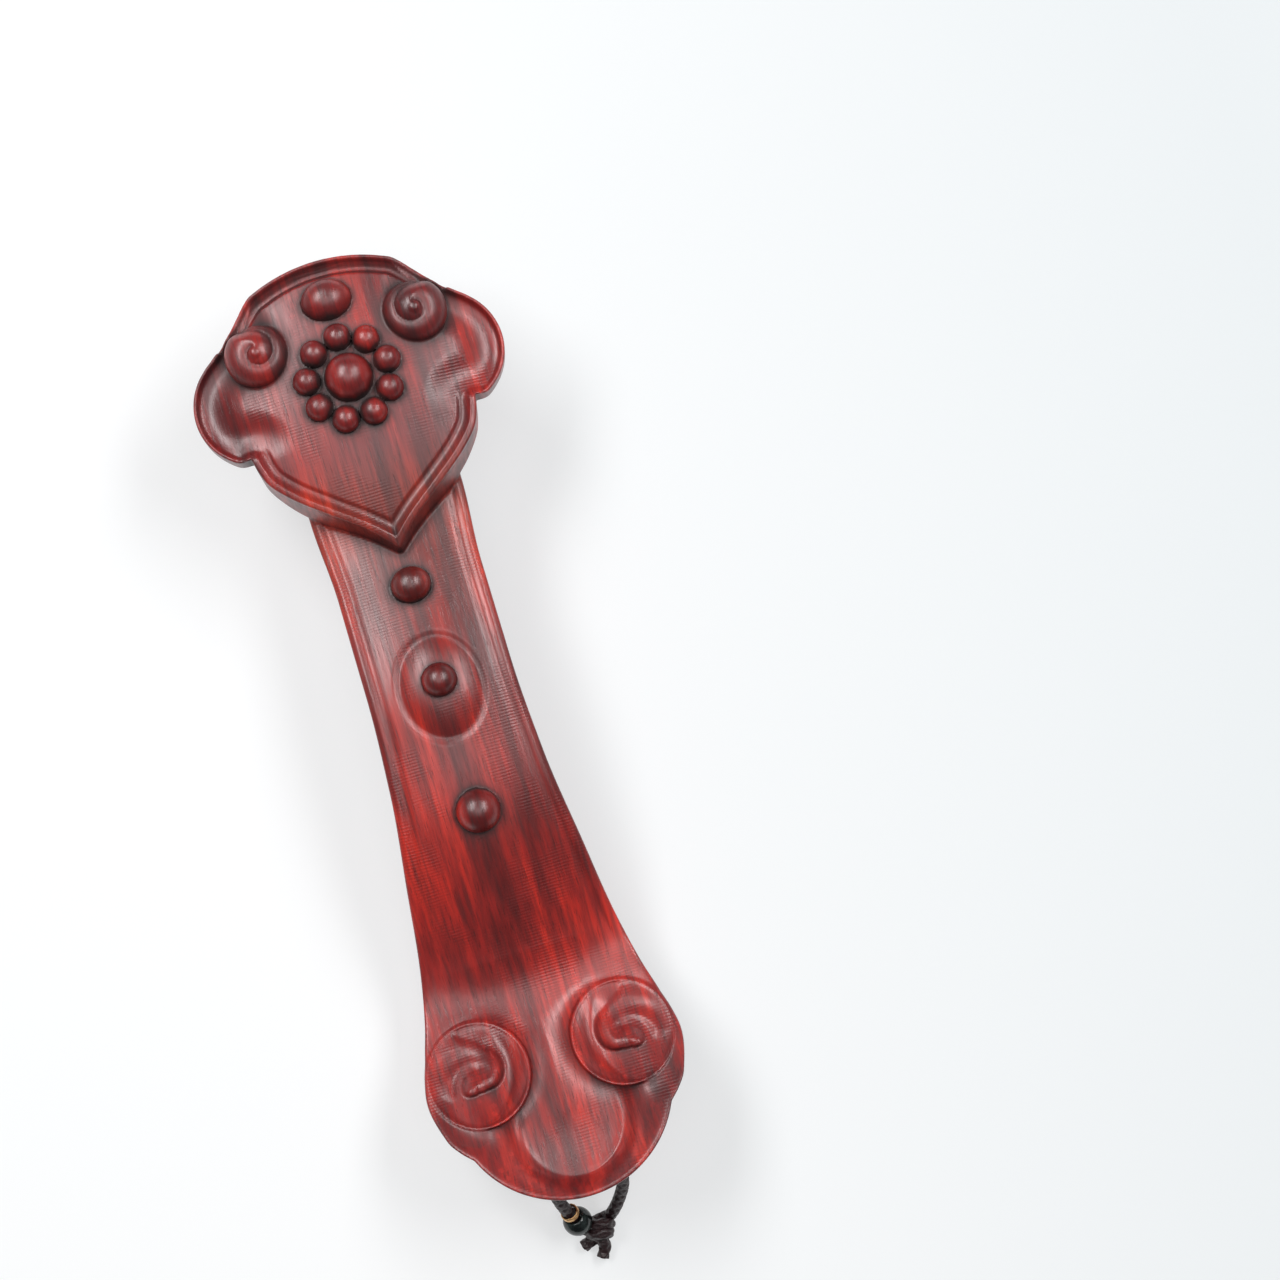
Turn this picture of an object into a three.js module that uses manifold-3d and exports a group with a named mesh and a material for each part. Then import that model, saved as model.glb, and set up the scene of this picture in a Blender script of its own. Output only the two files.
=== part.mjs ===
// A small ruyi sceptre carved from one block of wood, with a hanging cord. It lies on its back.
// Millimetres. X is across, +Y points to the head, +Z points out of the carved face.
// The origin is the middle of the carved block in plan, on the surface that it lies on.

import * as THREE from 'three';
import { mergeVertices } from 'three/addons/utils/BufferGeometryUtils.js';
import Module from 'manifold-3d';

const wasm = await Module();
wasm.setup();

// Plan of handle and tail
const sceptreLength = 121.6;
const neckWidth = 20;
const waistWidth = 18.8;
const tailWidth = 33.3;
const tailEndRadius = 14.1;
const tailNotchFromTip = 8;
const scrollWidestFromTip = 16.1;
const flareFromTip = [25.6, 33.6, 41.6, 54.6];
const flareInset = [2.3, 3.9, 5];
const notchClimb = [1.1, 3];
const notchInset = [2.7, 1.3];
const scrollEnd = 5.5;
const scrollEndInset = 1.2;
const flareEndExtra = 0.6;
const waistFromTip = [67, 79.6];
const neckStartFromTip = 90.6;
const neckEndFromTop = 5.6;
const neckTaper = [7, 2];
const neckTaperInset = [1.4, 4.6];

// Side profile, measured up from the surface that the sceptre lies on
const archRise = 9.4;
const archShares = [[0.176, 0.53], [0.345, 0.86], [0.514, 1], [0.711, 0.68], [0.873, 0.22]];
const archFootLength = 2;
const archFootShare = 0.1;
const tailBackHeight = 8.5;
const tailBackShares = [[7, 0.66], [14, 0.26], [20.5, 0.04]];
const neckBackShares = [[3.5, 0.12], [7, 0.3], [9.6, 0.5]];
const restLength = 5;
const tailRestFromTip = 25;
const headRestFromTop = 20.6;
const neckTopHeight = 15;
const waistFrontHeight = 18.7;
const neckFrontHeight = 16.5;
const upperHandleHeight = 17.3;
const valleyFrontHeight = 8;
const valleyFromTip = 26.6;
const valleyEase = [5, 11];
const tailLipHeight = 21;
const lipFall = [[3, 0.2], [6, 1.2], [9, 2.7], [12.2, 4.7]];
const valleyFall = [[15.5, 6], [18.8, 4.5], [21.8, 3]];
const valleyClimb = [[31, 1.2], [36, 3]];
const waistClimb = [[45, 3.9], [51.5, 1.9], [58.7, 0.7], [65.5, 0]];
const neckFrontFromTip = 88.6;
const borderWidth = 1.5;
const borderRise = 0.45;
const handleCrown = 0.6;
const backCorner = 2.2;

// Head plate
const headWidth = 40.2;
const crownRadius = 21.8;
const crownArcHalfWidth = 9.5;
const crownShoulder = [11.7, 4.3];
const upperNotch = [13.3, 6.3];
const lobeShoulder = [15.5, 8.1];
const lobeRadius = 7.65;
const lobeFromTop = 15.4;
const lobeArcTrim = 0.15;
const lowerNotch = [14.6, 22.2];
const plateLength = 37.6;
const apronFromTip = [[14.25, 13.7], [13.5, 11.8], [11.3, 9.3], [7.5, 6.2], [3.5, 3.2], [1.3, 1.3]];
const faceHeight = 23;
const faceSideDrop = 3.5;
const faceEndDrop = 3.9;
const rimRise = 0.9;
const ridgeWidth = 0.9;
const slopeWidth = 1.3;
const plateBackHeight = 16.5;
const coveHeight = 6;
const coveReach = 5.2;

// Ornament on the head plate
const flowerFromTop = 15.9;
const flowerRingRadius = 5.3;
const flowerBallRadius = 1.7;
const flowerBallCount = 9;
const flowerCentreRadius = 3.1;
const voluteSpread = 10.3;
const voluteFromTop = 9.8;
const voluteRadius = 4.1;
const voluteHeight = 3;
const topBossFromTop = 5.5;
const topBossHalfWidth = 3.35;
const topBossHalfLength = 2.8;
const topBossHeight = 2.5;

// Ornament on the handle
const upperBossFromTip = 79;
const upperBossRadius = 2.5;
const domeFromTip = 65.5;
const domeHalfWidth = 5.2;
const domeHalfLength = 6.5;
const domeHeight = 1.5;
const domePitDepth = 0.9;
const domePitMargin = 0.3;
const domeBallRadius = 2.15;
const domeBallShift = 0.8;
const lowerBossFromTip = 49.4;
const lowerBossRadius = 2.9;
const bossSink = 0.3;

// Tail dish and scrolls
const tongueHalfWidth = 6.5;
const tongueFromTip = 2.3;
const dishDepth = 3.4;
const dishShares = [[0, 1], [10, 1], [16, 0.82], [21, 0.7]];
const scrollSpread = 9.5;
const scrollFromTip = 17.8;
const scrollRadius = 6.7;
const scrollPocketRadius = 4.2;
const scrollPocketDepth = 0.9;
const scrollEyeSpread = 10.7;
const scrollEyeFromTip = 16.3;
const scrollEyeRadius = 1.5;

// Cord, bead and spacer
const cordDiameter = 1.6;
const tunnelClearance = 0.35;
const beadDiameter = 3.8;
const boreClearance = 0.3;
const spacerDiameter = 2.4;
const spacerLength = 0.8;
const beadToSpacerGap = 0.3;
const beadFromStrandEnd = 2.1;
const knotHalfSize = new THREE.Vector3(1.6, 2, 1.5);

// The cord's points, as [across, distance from the tail's tip towards the head, height]. The route runs from
// the knot up the right strand and round the tunnel, and the straight left strand ends at the knot.
const cordRoute = [
  [1.15, -4.8, 2.95],
  [2.35, -3.55, 4.4],
  [3.35, -2.15, 6.3],
  [4.05, -0.7, 8.6],
  [4.2, 0.6, 10.4],
  [3.75, 2.2, 11.2],
  [2.5, 3.9, 11.4],
  [0, 4.8, 11.4],
  [-2.5, 3.9, 11.4],
  [-3.9, 2.2, 11.3],
  [-4.45, 0.7, 10.5],
];
const leftStrand = [[-4.3, -0.6, 9], [-2.4, -5.15, 2.5]];
const knotPlace = [-0.15, -5.8, 1.8];
const longTailRoute = [[-0.45, -8.25, 1.15], [-0.75, -8.9, 0.95], [-1.15, -9.65, 0.85]];
const shortTailRoute = [[-1.9, -7.1, 1.2], [-2.5, -7.35, 1.0], [-3.1, -7.6, 0.85]];

const tailTip = -sceptreLength / 2;
const headTop = sceptreLength / 2;
const fromTip = (distance) => tailTip + distance;
const fromTop = (distance) => headTop - distance;
const cordPoint = ([x, distance, z]) => new THREE.Vector3(x, fromTip(distance), z);
const [strandStart, strandEnd] = leftStrand.map(cordPoint);

const wood = { color: 0x6e1a16, roughness: 0.28, metalness: 0 };
const cordFibre = { color: 0x1d1416, roughness: 0.75, metalness: 0 };
const blackBead = { color: 0x101214, roughness: 0.2, metalness: 0 };
const goldMetal = { color: 0xb98d55, roughness: 0.35, metalness: 0.9 };

// A smooth curve through points, in order of their first value. It never overshoots a point, so that it
// stays level between two equal ones.
function curveThrough(points) {
  const steps = points.slice(1).map((p, i) => (p[1] - points[i][1]) / (p[0] - points[i][0]));
  const slopes = points.map((_, i) => {
    if (i === 0 || i === points.length - 1) return steps[Math.min(i, steps.length - 1)];
    const product = steps[i - 1] * steps[i];
    return product > 0 ? (2 * product) / (steps[i - 1] + steps[i]) : 0;
  });
  return (x) => {
    const after = points.findIndex((p) => p[0] >= x);
    const i = after < 0 ? points.length - 2 : Math.max(after - 1, 0);
    const span = points[i + 1][0] - points[i][0];
    const t = THREE.MathUtils.clamp((x - points[i][0]) / span, 0, 1);
    const risen = t * t * (3 - 2 * t);
    const leaving = t * (1 - t) ** 2 * slopes[i];
    const arriving = t * t * (t - 1) * slopes[i + 1];
    return points[i][1] * (1 - risen) + points[i + 1][1] * risen + (leaving + arriving) * span;
  };
}

function toSolid(geometry) {
  const bare = geometry.clone();
  bare.deleteAttribute('normal');
  bare.deleteAttribute('uv');
  const merged = mergeVertices(bare, 1e-4);
  return new wasm.Manifold(new wasm.Mesh({
    numProp: 3,
    vertProperties: new Float32Array(merged.attributes.position.array),
    triVerts: new Uint32Array(merged.index.array),
  }));
}

function toGeometry(solid) {
  const mesh = solid.getMesh();
  const geometry = new THREE.BufferGeometry();
  geometry.setAttribute('position', new THREE.BufferAttribute(mesh.vertProperties, 3));
  geometry.setIndex(new THREE.BufferAttribute(mesh.triVerts, 1));
  geometry.computeVertexNormals();
  return geometry;
}

function extrudeUp(outline, bottom, top) {
  const settings = { depth: top - bottom, bevelEnabled: false };
  return toSolid(new THREE.ExtrudeGeometry(new THREE.Shape(outline), settings).translate(0, 0, bottom));
}

// Extrudes an outline of [y, z] points right across the sceptre.
function extrudeAcross(outline, width) {
  const shape = new THREE.Shape(outline.map(([y, z]) => new THREE.Vector2(y, z)));
  const geometry = new THREE.ExtrudeGeometry(shape, { depth: width, bevelEnabled: false });
  const turn = new THREE.Matrix4().makeBasis(
    new THREE.Vector3(0, 1, 0),
    new THREE.Vector3(0, 0, 1),
    new THREE.Vector3(1, 0, 0),
  );
  return toSolid(geometry.translate(0, 0, -width / 2).applyMatrix4(turn));
}

// A closed skin through rings of equal point count. Seen from the last ring's side each ring runs
// counter-clockwise; flatten gives a point's place as seen from there.
function loft(rings, flatten) {
  const count = rings[0].length;
  const index = [];
  for (let r = 0; r < rings.length - 1; r += 1) {
    for (let i = 0; i < count; i += 1) {
      const a = r * count + i;
      const b = r * count + ((i + 1) % count);
      index.push(a, b, b + count, a, b + count, a + count);
    }
  }
  const lastRing = (rings.length - 1) * count;
  for (const [a, b, c] of THREE.ShapeUtils.triangulateShape(rings[0].map(flatten), [])) {
    index.push(a, c, b);
  }
  for (const [a, b, c] of THREE.ShapeUtils.triangulateShape(rings[rings.length - 1].map(flatten), [])) {
    index.push(lastRing + a, lastRing + b, lastRing + c);
  }
  const geometry = new THREE.BufferGeometry();
  const positions = rings.flat().flatMap((p) => [p.x, p.y, p.z]);
  geometry.setAttribute('position', new THREE.Float32BufferAttribute(positions, 3));
  geometry.setIndex(index);
  return toSolid(geometry);
}

function ball(x, y, z, radii, slope, detail) {
  const geometry = new THREE.SphereGeometry(1, detail, Math.round(detail * 0.6));
  geometry.rotateX(Math.PI / 2).scale(...radii).rotateX(slope).translate(x, y, z);
  return toSolid(geometry);
}

function upright(x, y, radius, bottom, top) {
  const geometry = new THREE.CylinderGeometry(radius, radius, top - bottom, 30).rotateX(Math.PI / 2);
  return toSolid(geometry.translate(x, y, (bottom + top) / 2));
}

function tubeAlong(curve, diameter, steps, sides) {
  const section = [];
  for (let i = 0; i < sides; i += 1) {
    const angle = (i / sides) * Math.PI * 2;
    section.push(new THREE.Vector2(Math.cos(angle) * diameter / 2, Math.sin(angle) * diameter / 2));
  }
  const settings = { steps, extrudePath: curve, bevelEnabled: false };
  return new THREE.ExtrudeGeometry(new THREE.Shape(section), settings);
}

function routeCurve(points) {
  return new THREE.CatmullRomCurve3(points.map(cordPoint), false, 'centripetal');
}

// Half width of handle and tail. The round tail end is an arc, and the scroll lobes start at its notch.
const tipFlat = 0.1;
const endCentre = fromTip(tailEndRadius - tipFlat);
const endArcWidth = (y) => Math.sqrt(Math.max(tailEndRadius ** 2 - (endCentre - y) ** 2, 0));
const sideWidth = curveThrough([
  [fromTip(tailNotchFromTip), endArcWidth(fromTip(tailNotchFromTip))],
  [fromTip(tailNotchFromTip + notchClimb[0]), tailWidth / 2 - notchInset[0]],
  [fromTip(tailNotchFromTip + notchClimb[1]), tailWidth / 2 - notchInset[1]],
  [fromTip(scrollWidestFromTip), tailWidth / 2],
  [fromTip(scrollWidestFromTip + scrollEnd), tailWidth / 2 - scrollEndInset],
  [fromTip(flareFromTip[0]), tailWidth / 2 - flareInset[0]],
  [fromTip(flareFromTip[1]), tailWidth / 2 - flareInset[1]],
  [fromTip(flareFromTip[2]), tailWidth / 2 - flareInset[2]],
  [fromTip(flareFromTip[3]), waistWidth / 2 + flareEndExtra],
  [fromTip(waistFromTip[0]), waistWidth / 2],
  [fromTip(waistFromTip[1]), waistWidth / 2],
  [fromTip(neckStartFromTip), neckWidth / 2],
  [fromTop(neckEndFromTop + neckTaper[0]), neckWidth / 2],
  [fromTop(neckEndFromTop + neckTaper[1]), neckWidth / 2 - neckTaperInset[0]],
  [fromTop(neckEndFromTop), neckWidth / 2 - neckTaperInset[1]],
]);

function halfWidth(y) {
  return y < fromTip(tailNotchFromTip) ? endArcWidth(y) : sideWidth(y);
}

const tailRest = [fromTip(tailRestFromTip - restLength / 2), fromTip(tailRestFromTip + restLength / 2)];
const headRest = [fromTop(headRestFromTop + restLength / 2), fromTop(headRestFromTop - restLength / 2)];
const neckEnd = fromTop(neckEndFromTop);

// A place between the two rests, by its share of the way from the tail's to the head's.
const underArch = (share) => THREE.MathUtils.lerp(tailRest[1], headRest[0], share);

// Height of the back, which is flat in the two places where the sceptre rests.
const backHeight = curveThrough([
  [tailTip, tailBackHeight],
  ...tailBackShares.map(([distance, share]) => [fromTip(distance), tailBackHeight * share]),
  [tailRest[0], 0],
  [tailRest[1], 0],
  [tailRest[1] + archFootLength, archRise * archFootShare],
  ...archShares.map(([along, share]) => [underArch(along), archRise * share]),
  [headRest[0], 0],
  [headRest[1], 0],
  ...neckBackShares.map(([distance, share]) => [headRest[1] + distance, neckTopHeight * share]),
  [neckEnd, neckTopHeight],
]);

// Height of the front along its side edges.
const edgeHeight = curveThrough([
  [tailTip, tailLipHeight],
  ...lipFall.map(([distance, down]) => [fromTip(distance), tailLipHeight - down]),
  ...valleyFall.map(([distance, up]) => [fromTip(distance), valleyFrontHeight + up]),
  [fromTip(valleyFromTip), valleyFrontHeight],
  ...valleyClimb.map(([distance, up]) => [fromTip(distance), valleyFrontHeight + up]),
  ...waistClimb.map(([distance, down]) => [fromTip(distance), waistFrontHeight - down]),
  [fromTip(waistFromTip[1]), upperHandleHeight],
  [fromTip(neckFrontFromTip), neckFrontHeight],
  [neckEnd, neckFrontHeight],
]);

const dishDrop = curveThrough([
  ...dishShares.map(([distance, share]) => [fromTip(distance), dishDepth * share]),
  [fromTip(valleyFromTip), 0],
]);

// Height of the front surface, without its ornament: crowned with a sloping border along the handle,
// and in the tail a tongue-shaped dish whose lip climbs to the edge.
function frontHeight(x, y) {
  const edge = edgeHeight(y);
  const inner = Math.max(halfWidth(y) - borderWidth, 0.1);
  const crowned = edge + borderRise + handleCrown * Math.max(0, 1 - (x / inner) ** 2);
  const tongueCentre = fromTip(tongueFromTip + tongueHalfWidth);
  const reach = y < tongueCentre ? Math.hypot(x, y - tongueCentre) : Math.abs(x);
  const pastTongue = Math.max(0, reach - tongueHalfWidth);
  const toEdge = y < endCentre ? tailEndRadius - Math.hypot(x, y - endCentre) : halfWidth(y) - Math.abs(x);
  const climb = pastTongue / (pastTongue + Math.max(toEdge, 0.01));
  const dished = edge - dishDrop(y) * (1 - climb);
  const [before, after] = valleyEase;
  const ease = THREE.MathUtils.smoothstep(y, fromTip(valleyFromTip - before), fromTip(valleyFromTip + after));
  return THREE.MathUtils.lerp(dished, crowned, ease);
}

// The slope of the front surface along the middle line.
function frontSlope(y) {
  return Math.atan((frontHeight(0, y + 0.5) - frontHeight(0, y - 0.5)));
}

function handleRing(y) {
  const half = halfWidth(y);
  const edge = edgeHeight(y);
  const back = backHeight(y);
  const border = Math.min(borderWidth, half * 0.3);
  const corner = Math.min(backCorner, half * 0.4, (edge - back) * 0.3);
  const columns = 16;
  const ring = [new THREE.Vector3(-half, y, edge)];
  for (let i = 0; i <= columns; i += 1) {
    const x = (half - border) * ((2 * i) / columns - 1);
    ring.push(new THREE.Vector3(x, y, frontHeight(x, y)));
  }
  ring.push(new THREE.Vector3(half, y, edge));
  for (const side of [1, -1]) {
    const turned = [
      new THREE.Vector3(side * half, y, back + corner),
      new THREE.Vector3(side * (half - corner * 0.3), y, back + corner * 0.3),
      new THREE.Vector3(side * (half - corner), y, back),
    ];
    ring.push(...(side > 0 ? turned : turned.reverse()));
  }
  return ring;
}

// Places for the rings: every mark, and even steps between marks.
function stations() {
  const stretches = [
    [tailTip, fromTip(tailNotchFromTip), 8],
    [fromTip(tailNotchFromTip), tailRest[0], 10],
    [tailRest[0], tailRest[1], 3],
    [tailRest[1], headRest[0], 23],
    [headRest[0], headRest[1], 1],
    [headRest[1], neckEnd, 8],
  ];
  const places = [tailTip];
  for (const [start, end, steps] of stretches) {
    for (let i = 1; i <= steps; i += 1) places.push(start + ((end - start) * i) / steps);
  }
  return places;
}

function handle() {
  return loft(stations().map(handleRing), (p) => new THREE.Vector2(-p.x, p.z));
}

// The part of the space under the front edge line, between two places, less a depth.
function underEdge(start, end, lowered) {
  const steps = 14;
  const outline = [[start, -1]];
  for (let i = 0; i <= steps; i += 1) {
    const y = start + ((end - start) * i) / steps;
    outline.push([y, edgeHeight(y) - lowered]);
  }
  outline.push([end, -1]);
  return extrudeAcross(outline.reverse(), tailWidth + 4);
}

// A round scroll that stands in the dish, with a sunk pocket and a ball in it.
function addScroll(body, side) {
  const y = fromTip(scrollFromTip);
  const start = y - scrollRadius - 1;
  const end = y + scrollRadius + 1;
  const floor = backHeight(y) + 3;
  const disc = upright(side * scrollSpread, y, scrollRadius, floor, tailLipHeight + 3);
  const eyeY = fromTip(scrollEyeFromTip);
  const pocket = upright(side * scrollEyeSpread, eyeY, scrollPocketRadius, floor, tailLipHeight + 4);
  const cut = pocket.subtract(underEdge(start, end, scrollPocketDepth));
  const radii = [scrollEyeRadius, scrollEyeRadius, scrollEyeRadius];
  const eye = ball(side * scrollEyeSpread, eyeY, edgeHeight(eyeY) - 0.3, radii, 0, 14);
  return body.add(disc.intersect(underEdge(start, end, 0))).subtract(cut).add(eye);
}

// Half of the head plate's outline, from the top of the head down its right side to the tip.
function plateHalf() {
  const below = ([x, distance]) => new THREE.Vector2(x, fromTop(distance));
  const points = [];
  const crownCentre = fromTop(crownRadius);
  const crownEnd = Math.asin(Math.min(crownArcHalfWidth / crownRadius, 1));
  for (let i = 0; i <= 7; i += 1) {
    const angle = (crownEnd * i) / 7;
    const x = crownRadius * Math.sin(angle);
    points.push(new THREE.Vector2(x, crownCentre + crownRadius * Math.cos(angle)));
  }
  points.push(below(crownShoulder), below(upperNotch), below(lobeShoulder));
  const centre = new THREE.Vector2(headWidth / 2 - lobeRadius, fromTop(lobeFromTop));
  const start = below(lobeShoulder).sub(centre).angle() - lobeArcTrim;
  const end = below(lowerNotch).sub(centre).angle() - Math.PI * 2 + lobeArcTrim;
  for (let i = 0; i <= 12; i += 1) {
    const angle = start + ((end - start) * i) / 12;
    const outward = new THREE.Vector2(Math.cos(angle), Math.sin(angle)).multiplyScalar(lobeRadius);
    points.push(centre.clone().add(outward));
  }
  const tip = fromTop(plateLength);
  const apron = new THREE.SplineCurve([
    below(lowerNotch),
    ...apronFromTip.map(([x, distance]) => new THREE.Vector2(x, tip + distance)),
    new THREE.Vector2(0, tip),
  ]);
  return [...points, ...apron.getPoints(14)];
}

// The same half outline, drawn in by a distance.
function drawnIn(half, distance) {
  return half.map((p, i) => {
    if (i === 0) return new THREE.Vector2(0, p.y - distance);
    if (i === half.length - 1) return new THREE.Vector2(0, p.y + distance * 1.3);
    const along = half[i + 1].clone().sub(half[i - 1]).normalize();
    return new THREE.Vector2(Math.max(p.x + along.y * distance, 0.05), p.y - along.x * distance);
  });
}

function bothSides(half) {
  const left = half.slice(1, -1).reverse().map((p) => new THREE.Vector2(-p.x, p.y));
  return [...half, ...left].reverse();
}

// Height of the head plate's sunk face, which falls away to the lobes and to both ends.
function faceAt(x, y) {
  const sideways = (x / (headWidth / 2)) ** 2;
  const lengthways = ((y - fromTop(flowerFromTop)) / (plateLength - flowerFromTop)) ** 2;
  return faceHeight - faceSideDrop * sideways - faceEndDrop * lengthways;
}

// A block under the face surface raised by a height, wider than the head.
function underFace(raised) {
  const cells = 14;
  const rings = [];
  const reach = headWidth / 2 + 1;
  for (let j = 0; j <= cells; j += 1) {
    const y = fromTop(plateLength + 1) + ((plateLength + 2) * j) / cells;
    const ring = [];
    for (let i = 0; i <= cells; i += 1) {
      const x = reach * ((2 * i) / cells - 1);
      ring.push(new THREE.Vector3(x, y, faceAt(x, y) + raised));
    }
    ring.push(new THREE.Vector3(reach, y, neckTopHeight - 4));
    ring.push(new THREE.Vector3(-reach, y, neckTopHeight - 4));
    rings.push(ring);
  }
  return loft(rings, (p) => new THREE.Vector2(-p.x, p.z));
}

function headPlate() {
  const half = plateHalf();
  const ceiling = faceHeight + 4;
  const plate = extrudeUp(bothSides(half), plateBackHeight - 0.2, ceiling).intersect(underFace(rimRise));
  const slope = extrudeUp(bothSides(drawnIn(half, ridgeWidth)), plateBackHeight, ceiling);
  const face = extrudeUp(bothSides(drawnIn(half, ridgeWidth + slopeWidth)), plateBackHeight, ceiling);
  return plate
    .subtract(slope.subtract(underFace(rimRise / 2)))
    .subtract(face.subtract(underFace(0)));
}

// The cove that spreads from the neck's side walls out to the back of the plate.
function cove() {
  const outer = drawnIn(plateHalf(), 1.2);
  const steps = 5;
  const rings = [];
  for (let i = 0; i <= steps; i += 1) {
    const share = i / steps;
    const spread = 1 - 0.98 * Math.sqrt(1 - share ** 2);
    const ring = outer.map((p) => {
      const reachX = Math.min(p.x, neckWidth / 2 + coveReach);
      const neckY = THREE.MathUtils.clamp(p.y, fromTop(plateLength - 3), neckEnd - 3);
      const neckX = Math.min(p.x, halfWidth(neckY) - 0.3);
      return new THREE.Vector2(neckX + (reachX - neckX) * spread, neckY + (p.y - neckY) * spread);
    });
    const z = plateBackHeight - coveHeight * (1 - share);
    rings.push(bothSides(ring).map((p) => new THREE.Vector3(p.x, p.y, z)));
  }
  return loft(rings, (p) => new THREE.Vector2(p.x, p.y));
}

function headOrnament() {
  const flowerY = fromTop(flowerFromTop);
  const centre = [flowerCentreRadius, flowerCentreRadius, flowerCentreRadius];
  const petal = [flowerBallRadius, flowerBallRadius, flowerBallRadius];
  const pieces = [ball(0, flowerY, faceHeight + bossSink, centre, 0, 18)];
  for (let i = 0; i < flowerBallCount; i += 1) {
    const angle = Math.PI / 2 + (i / flowerBallCount) * Math.PI * 2;
    const x = Math.cos(angle) * flowerRingRadius;
    const y = flowerY + Math.sin(angle) * flowerRingRadius;
    pieces.push(ball(x, y, faceAt(x, y) + bossSink, petal, 0, 12));
  }
  const voluteY = fromTop(voluteFromTop);
  for (const side of [-1, 1]) {
    const x = side * voluteSpread;
    pieces.push(ball(x, voluteY, faceAt(x, voluteY), [voluteRadius, voluteRadius, voluteHeight], 0, 18));
  }
  const bossY = fromTop(topBossFromTop);
  const boss = [topBossHalfWidth, topBossHalfLength, topBossHeight];
  pieces.push(ball(0, bossY, faceAt(0, bossY), boss, 0, 18));
  return pieces;
}

function handleOrnament() {
  const onFront = (distance, radii, lift, detail) => {
    const y = fromTip(distance);
    return ball(0, y, frontHeight(0, y) + lift, radii, frontSlope(y), detail);
  };
  const round = (radius) => [radius, radius, radius];
  return [
    onFront(upperBossFromTip, round(upperBossRadius), bossSink, 16),
    onFront(domeFromTip, [domeHalfWidth, domeHalfLength, domeHeight], -domePitDepth, 26),
    onFront(domeFromTip + domeBallShift, round(domeBallRadius), domeHeight - domePitDepth, 14),
    onFront(lowerBossFromTip, round(lowerBossRadius), bossSink, 16),
  ];
}

// The oval pit in the front of the handle, in which the dome stands.
function domePit() {
  const y = fromTip(domeFromTip);
  const floor = frontHeight(0, y) - domePitDepth;
  const pit = new THREE.CylinderGeometry(1, 1, 4, 30).rotateX(Math.PI / 2);
  pit.scale(domeHalfWidth + domePitMargin, domeHalfLength + domePitMargin, 1);
  return toSolid(pit.translate(0, y, floor + 2));
}

const loopCurve = routeCurve([...cordRoute, ...leftStrand]);
const strandDirection = strandEnd.clone().sub(strandStart).normalize();

function carvedSceptre() {
  let body = handle().subtract(domePit()).add(cove()).add(headPlate());
  for (const side of [-1, 1]) body = addScroll(body, side);
  for (const piece of [...headOrnament(), ...handleOrnament()]) body = body.add(piece);
  const tunnelCurve = routeCurve([...cordRoute.slice(3), leftStrand[0]]);
  const tunnel = tubeAlong(tunnelCurve, cordDiameter + tunnelClearance * 2, 22, 10);
  return toGeometry(body.subtract(toSolid(tunnel)));
}

// Lays a turned shape along the straight strand, at a distance from its end.
function alongStrand(geometry, distanceFromEnd) {
  const turn = new THREE.Quaternion().setFromUnitVectors(new THREE.Vector3(0, 0, 1), strandDirection);
  const centre = strandEnd.clone().addScaledVector(strandDirection, -distanceFromEnd);
  return geometry.applyQuaternion(turn).translate(...centre);
}

// A turned ring with a bore, its outer radius given along its axis.
function turnedRing(halfLength, outerAt, bore) {
  const steps = 8;
  const points = [];
  for (let i = 0; i <= steps; i += 1) {
    const along = -halfLength + (i / steps) * halfLength * 2;
    points.push(new THREE.Vector2(outerAt(along), along));
  }
  points.push(new THREE.Vector2(bore, halfLength), new THREE.Vector2(bore, -halfLength), points[0].clone());
  return new THREE.LatheGeometry(points, 16).rotateX(Math.PI / 2);
}

const boreRadius = cordDiameter / 2 + boreClearance;

function bead() {
  const radius = beadDiameter / 2;
  const halfLength = Math.sqrt(radius ** 2 - (boreRadius + 0.2) ** 2);
  const outline = (along) => Math.sqrt(radius ** 2 - along ** 2);
  return alongStrand(turnedRing(halfLength, outline, boreRadius), beadFromStrandEnd);
}

function spacer() {
  const outline = () => spacerDiameter / 2;
  const distance = beadFromStrandEnd + beadDiameter / 2 + beadToSpacerGap + spacerLength / 2;
  return alongStrand(turnedRing(spacerLength / 2, outline, boreRadius), distance);
}

function knot() {
  return new THREE.SphereGeometry(1, 18, 12).scale(...knotHalfSize).translate(...cordPoint(knotPlace));
}

const group = new THREE.Group();

function addPiece(name, geometry, finish) {
  const mesh = new THREE.Mesh(geometry, new THREE.MeshStandardMaterial(finish));
  mesh.name = name;
  group.add(mesh);
}

addPiece('carved_sceptre', carvedSceptre(), wood);
addPiece('cord_loop', tubeAlong(loopCurve, cordDiameter, 40, 8), cordFibre);
addPiece('cord_knot', knot(), cordFibre);
addPiece('cord_tail_long', tubeAlong(routeCurve(longTailRoute), cordDiameter, 4, 8), cordFibre);
addPiece('cord_tail_short', tubeAlong(routeCurve(shortTailRoute), cordDiameter, 3, 8), cordFibre);
addPiece('black_bead', bead(), blackBead);
addPiece('gold_spacer', spacer(), goldMetal);

export default group;
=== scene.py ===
"""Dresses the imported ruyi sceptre: the finely carved block, its braided cord, bead and spacer."""
import math

import bpy
import numpy as np
from mathutils import Matrix, Vector


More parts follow.
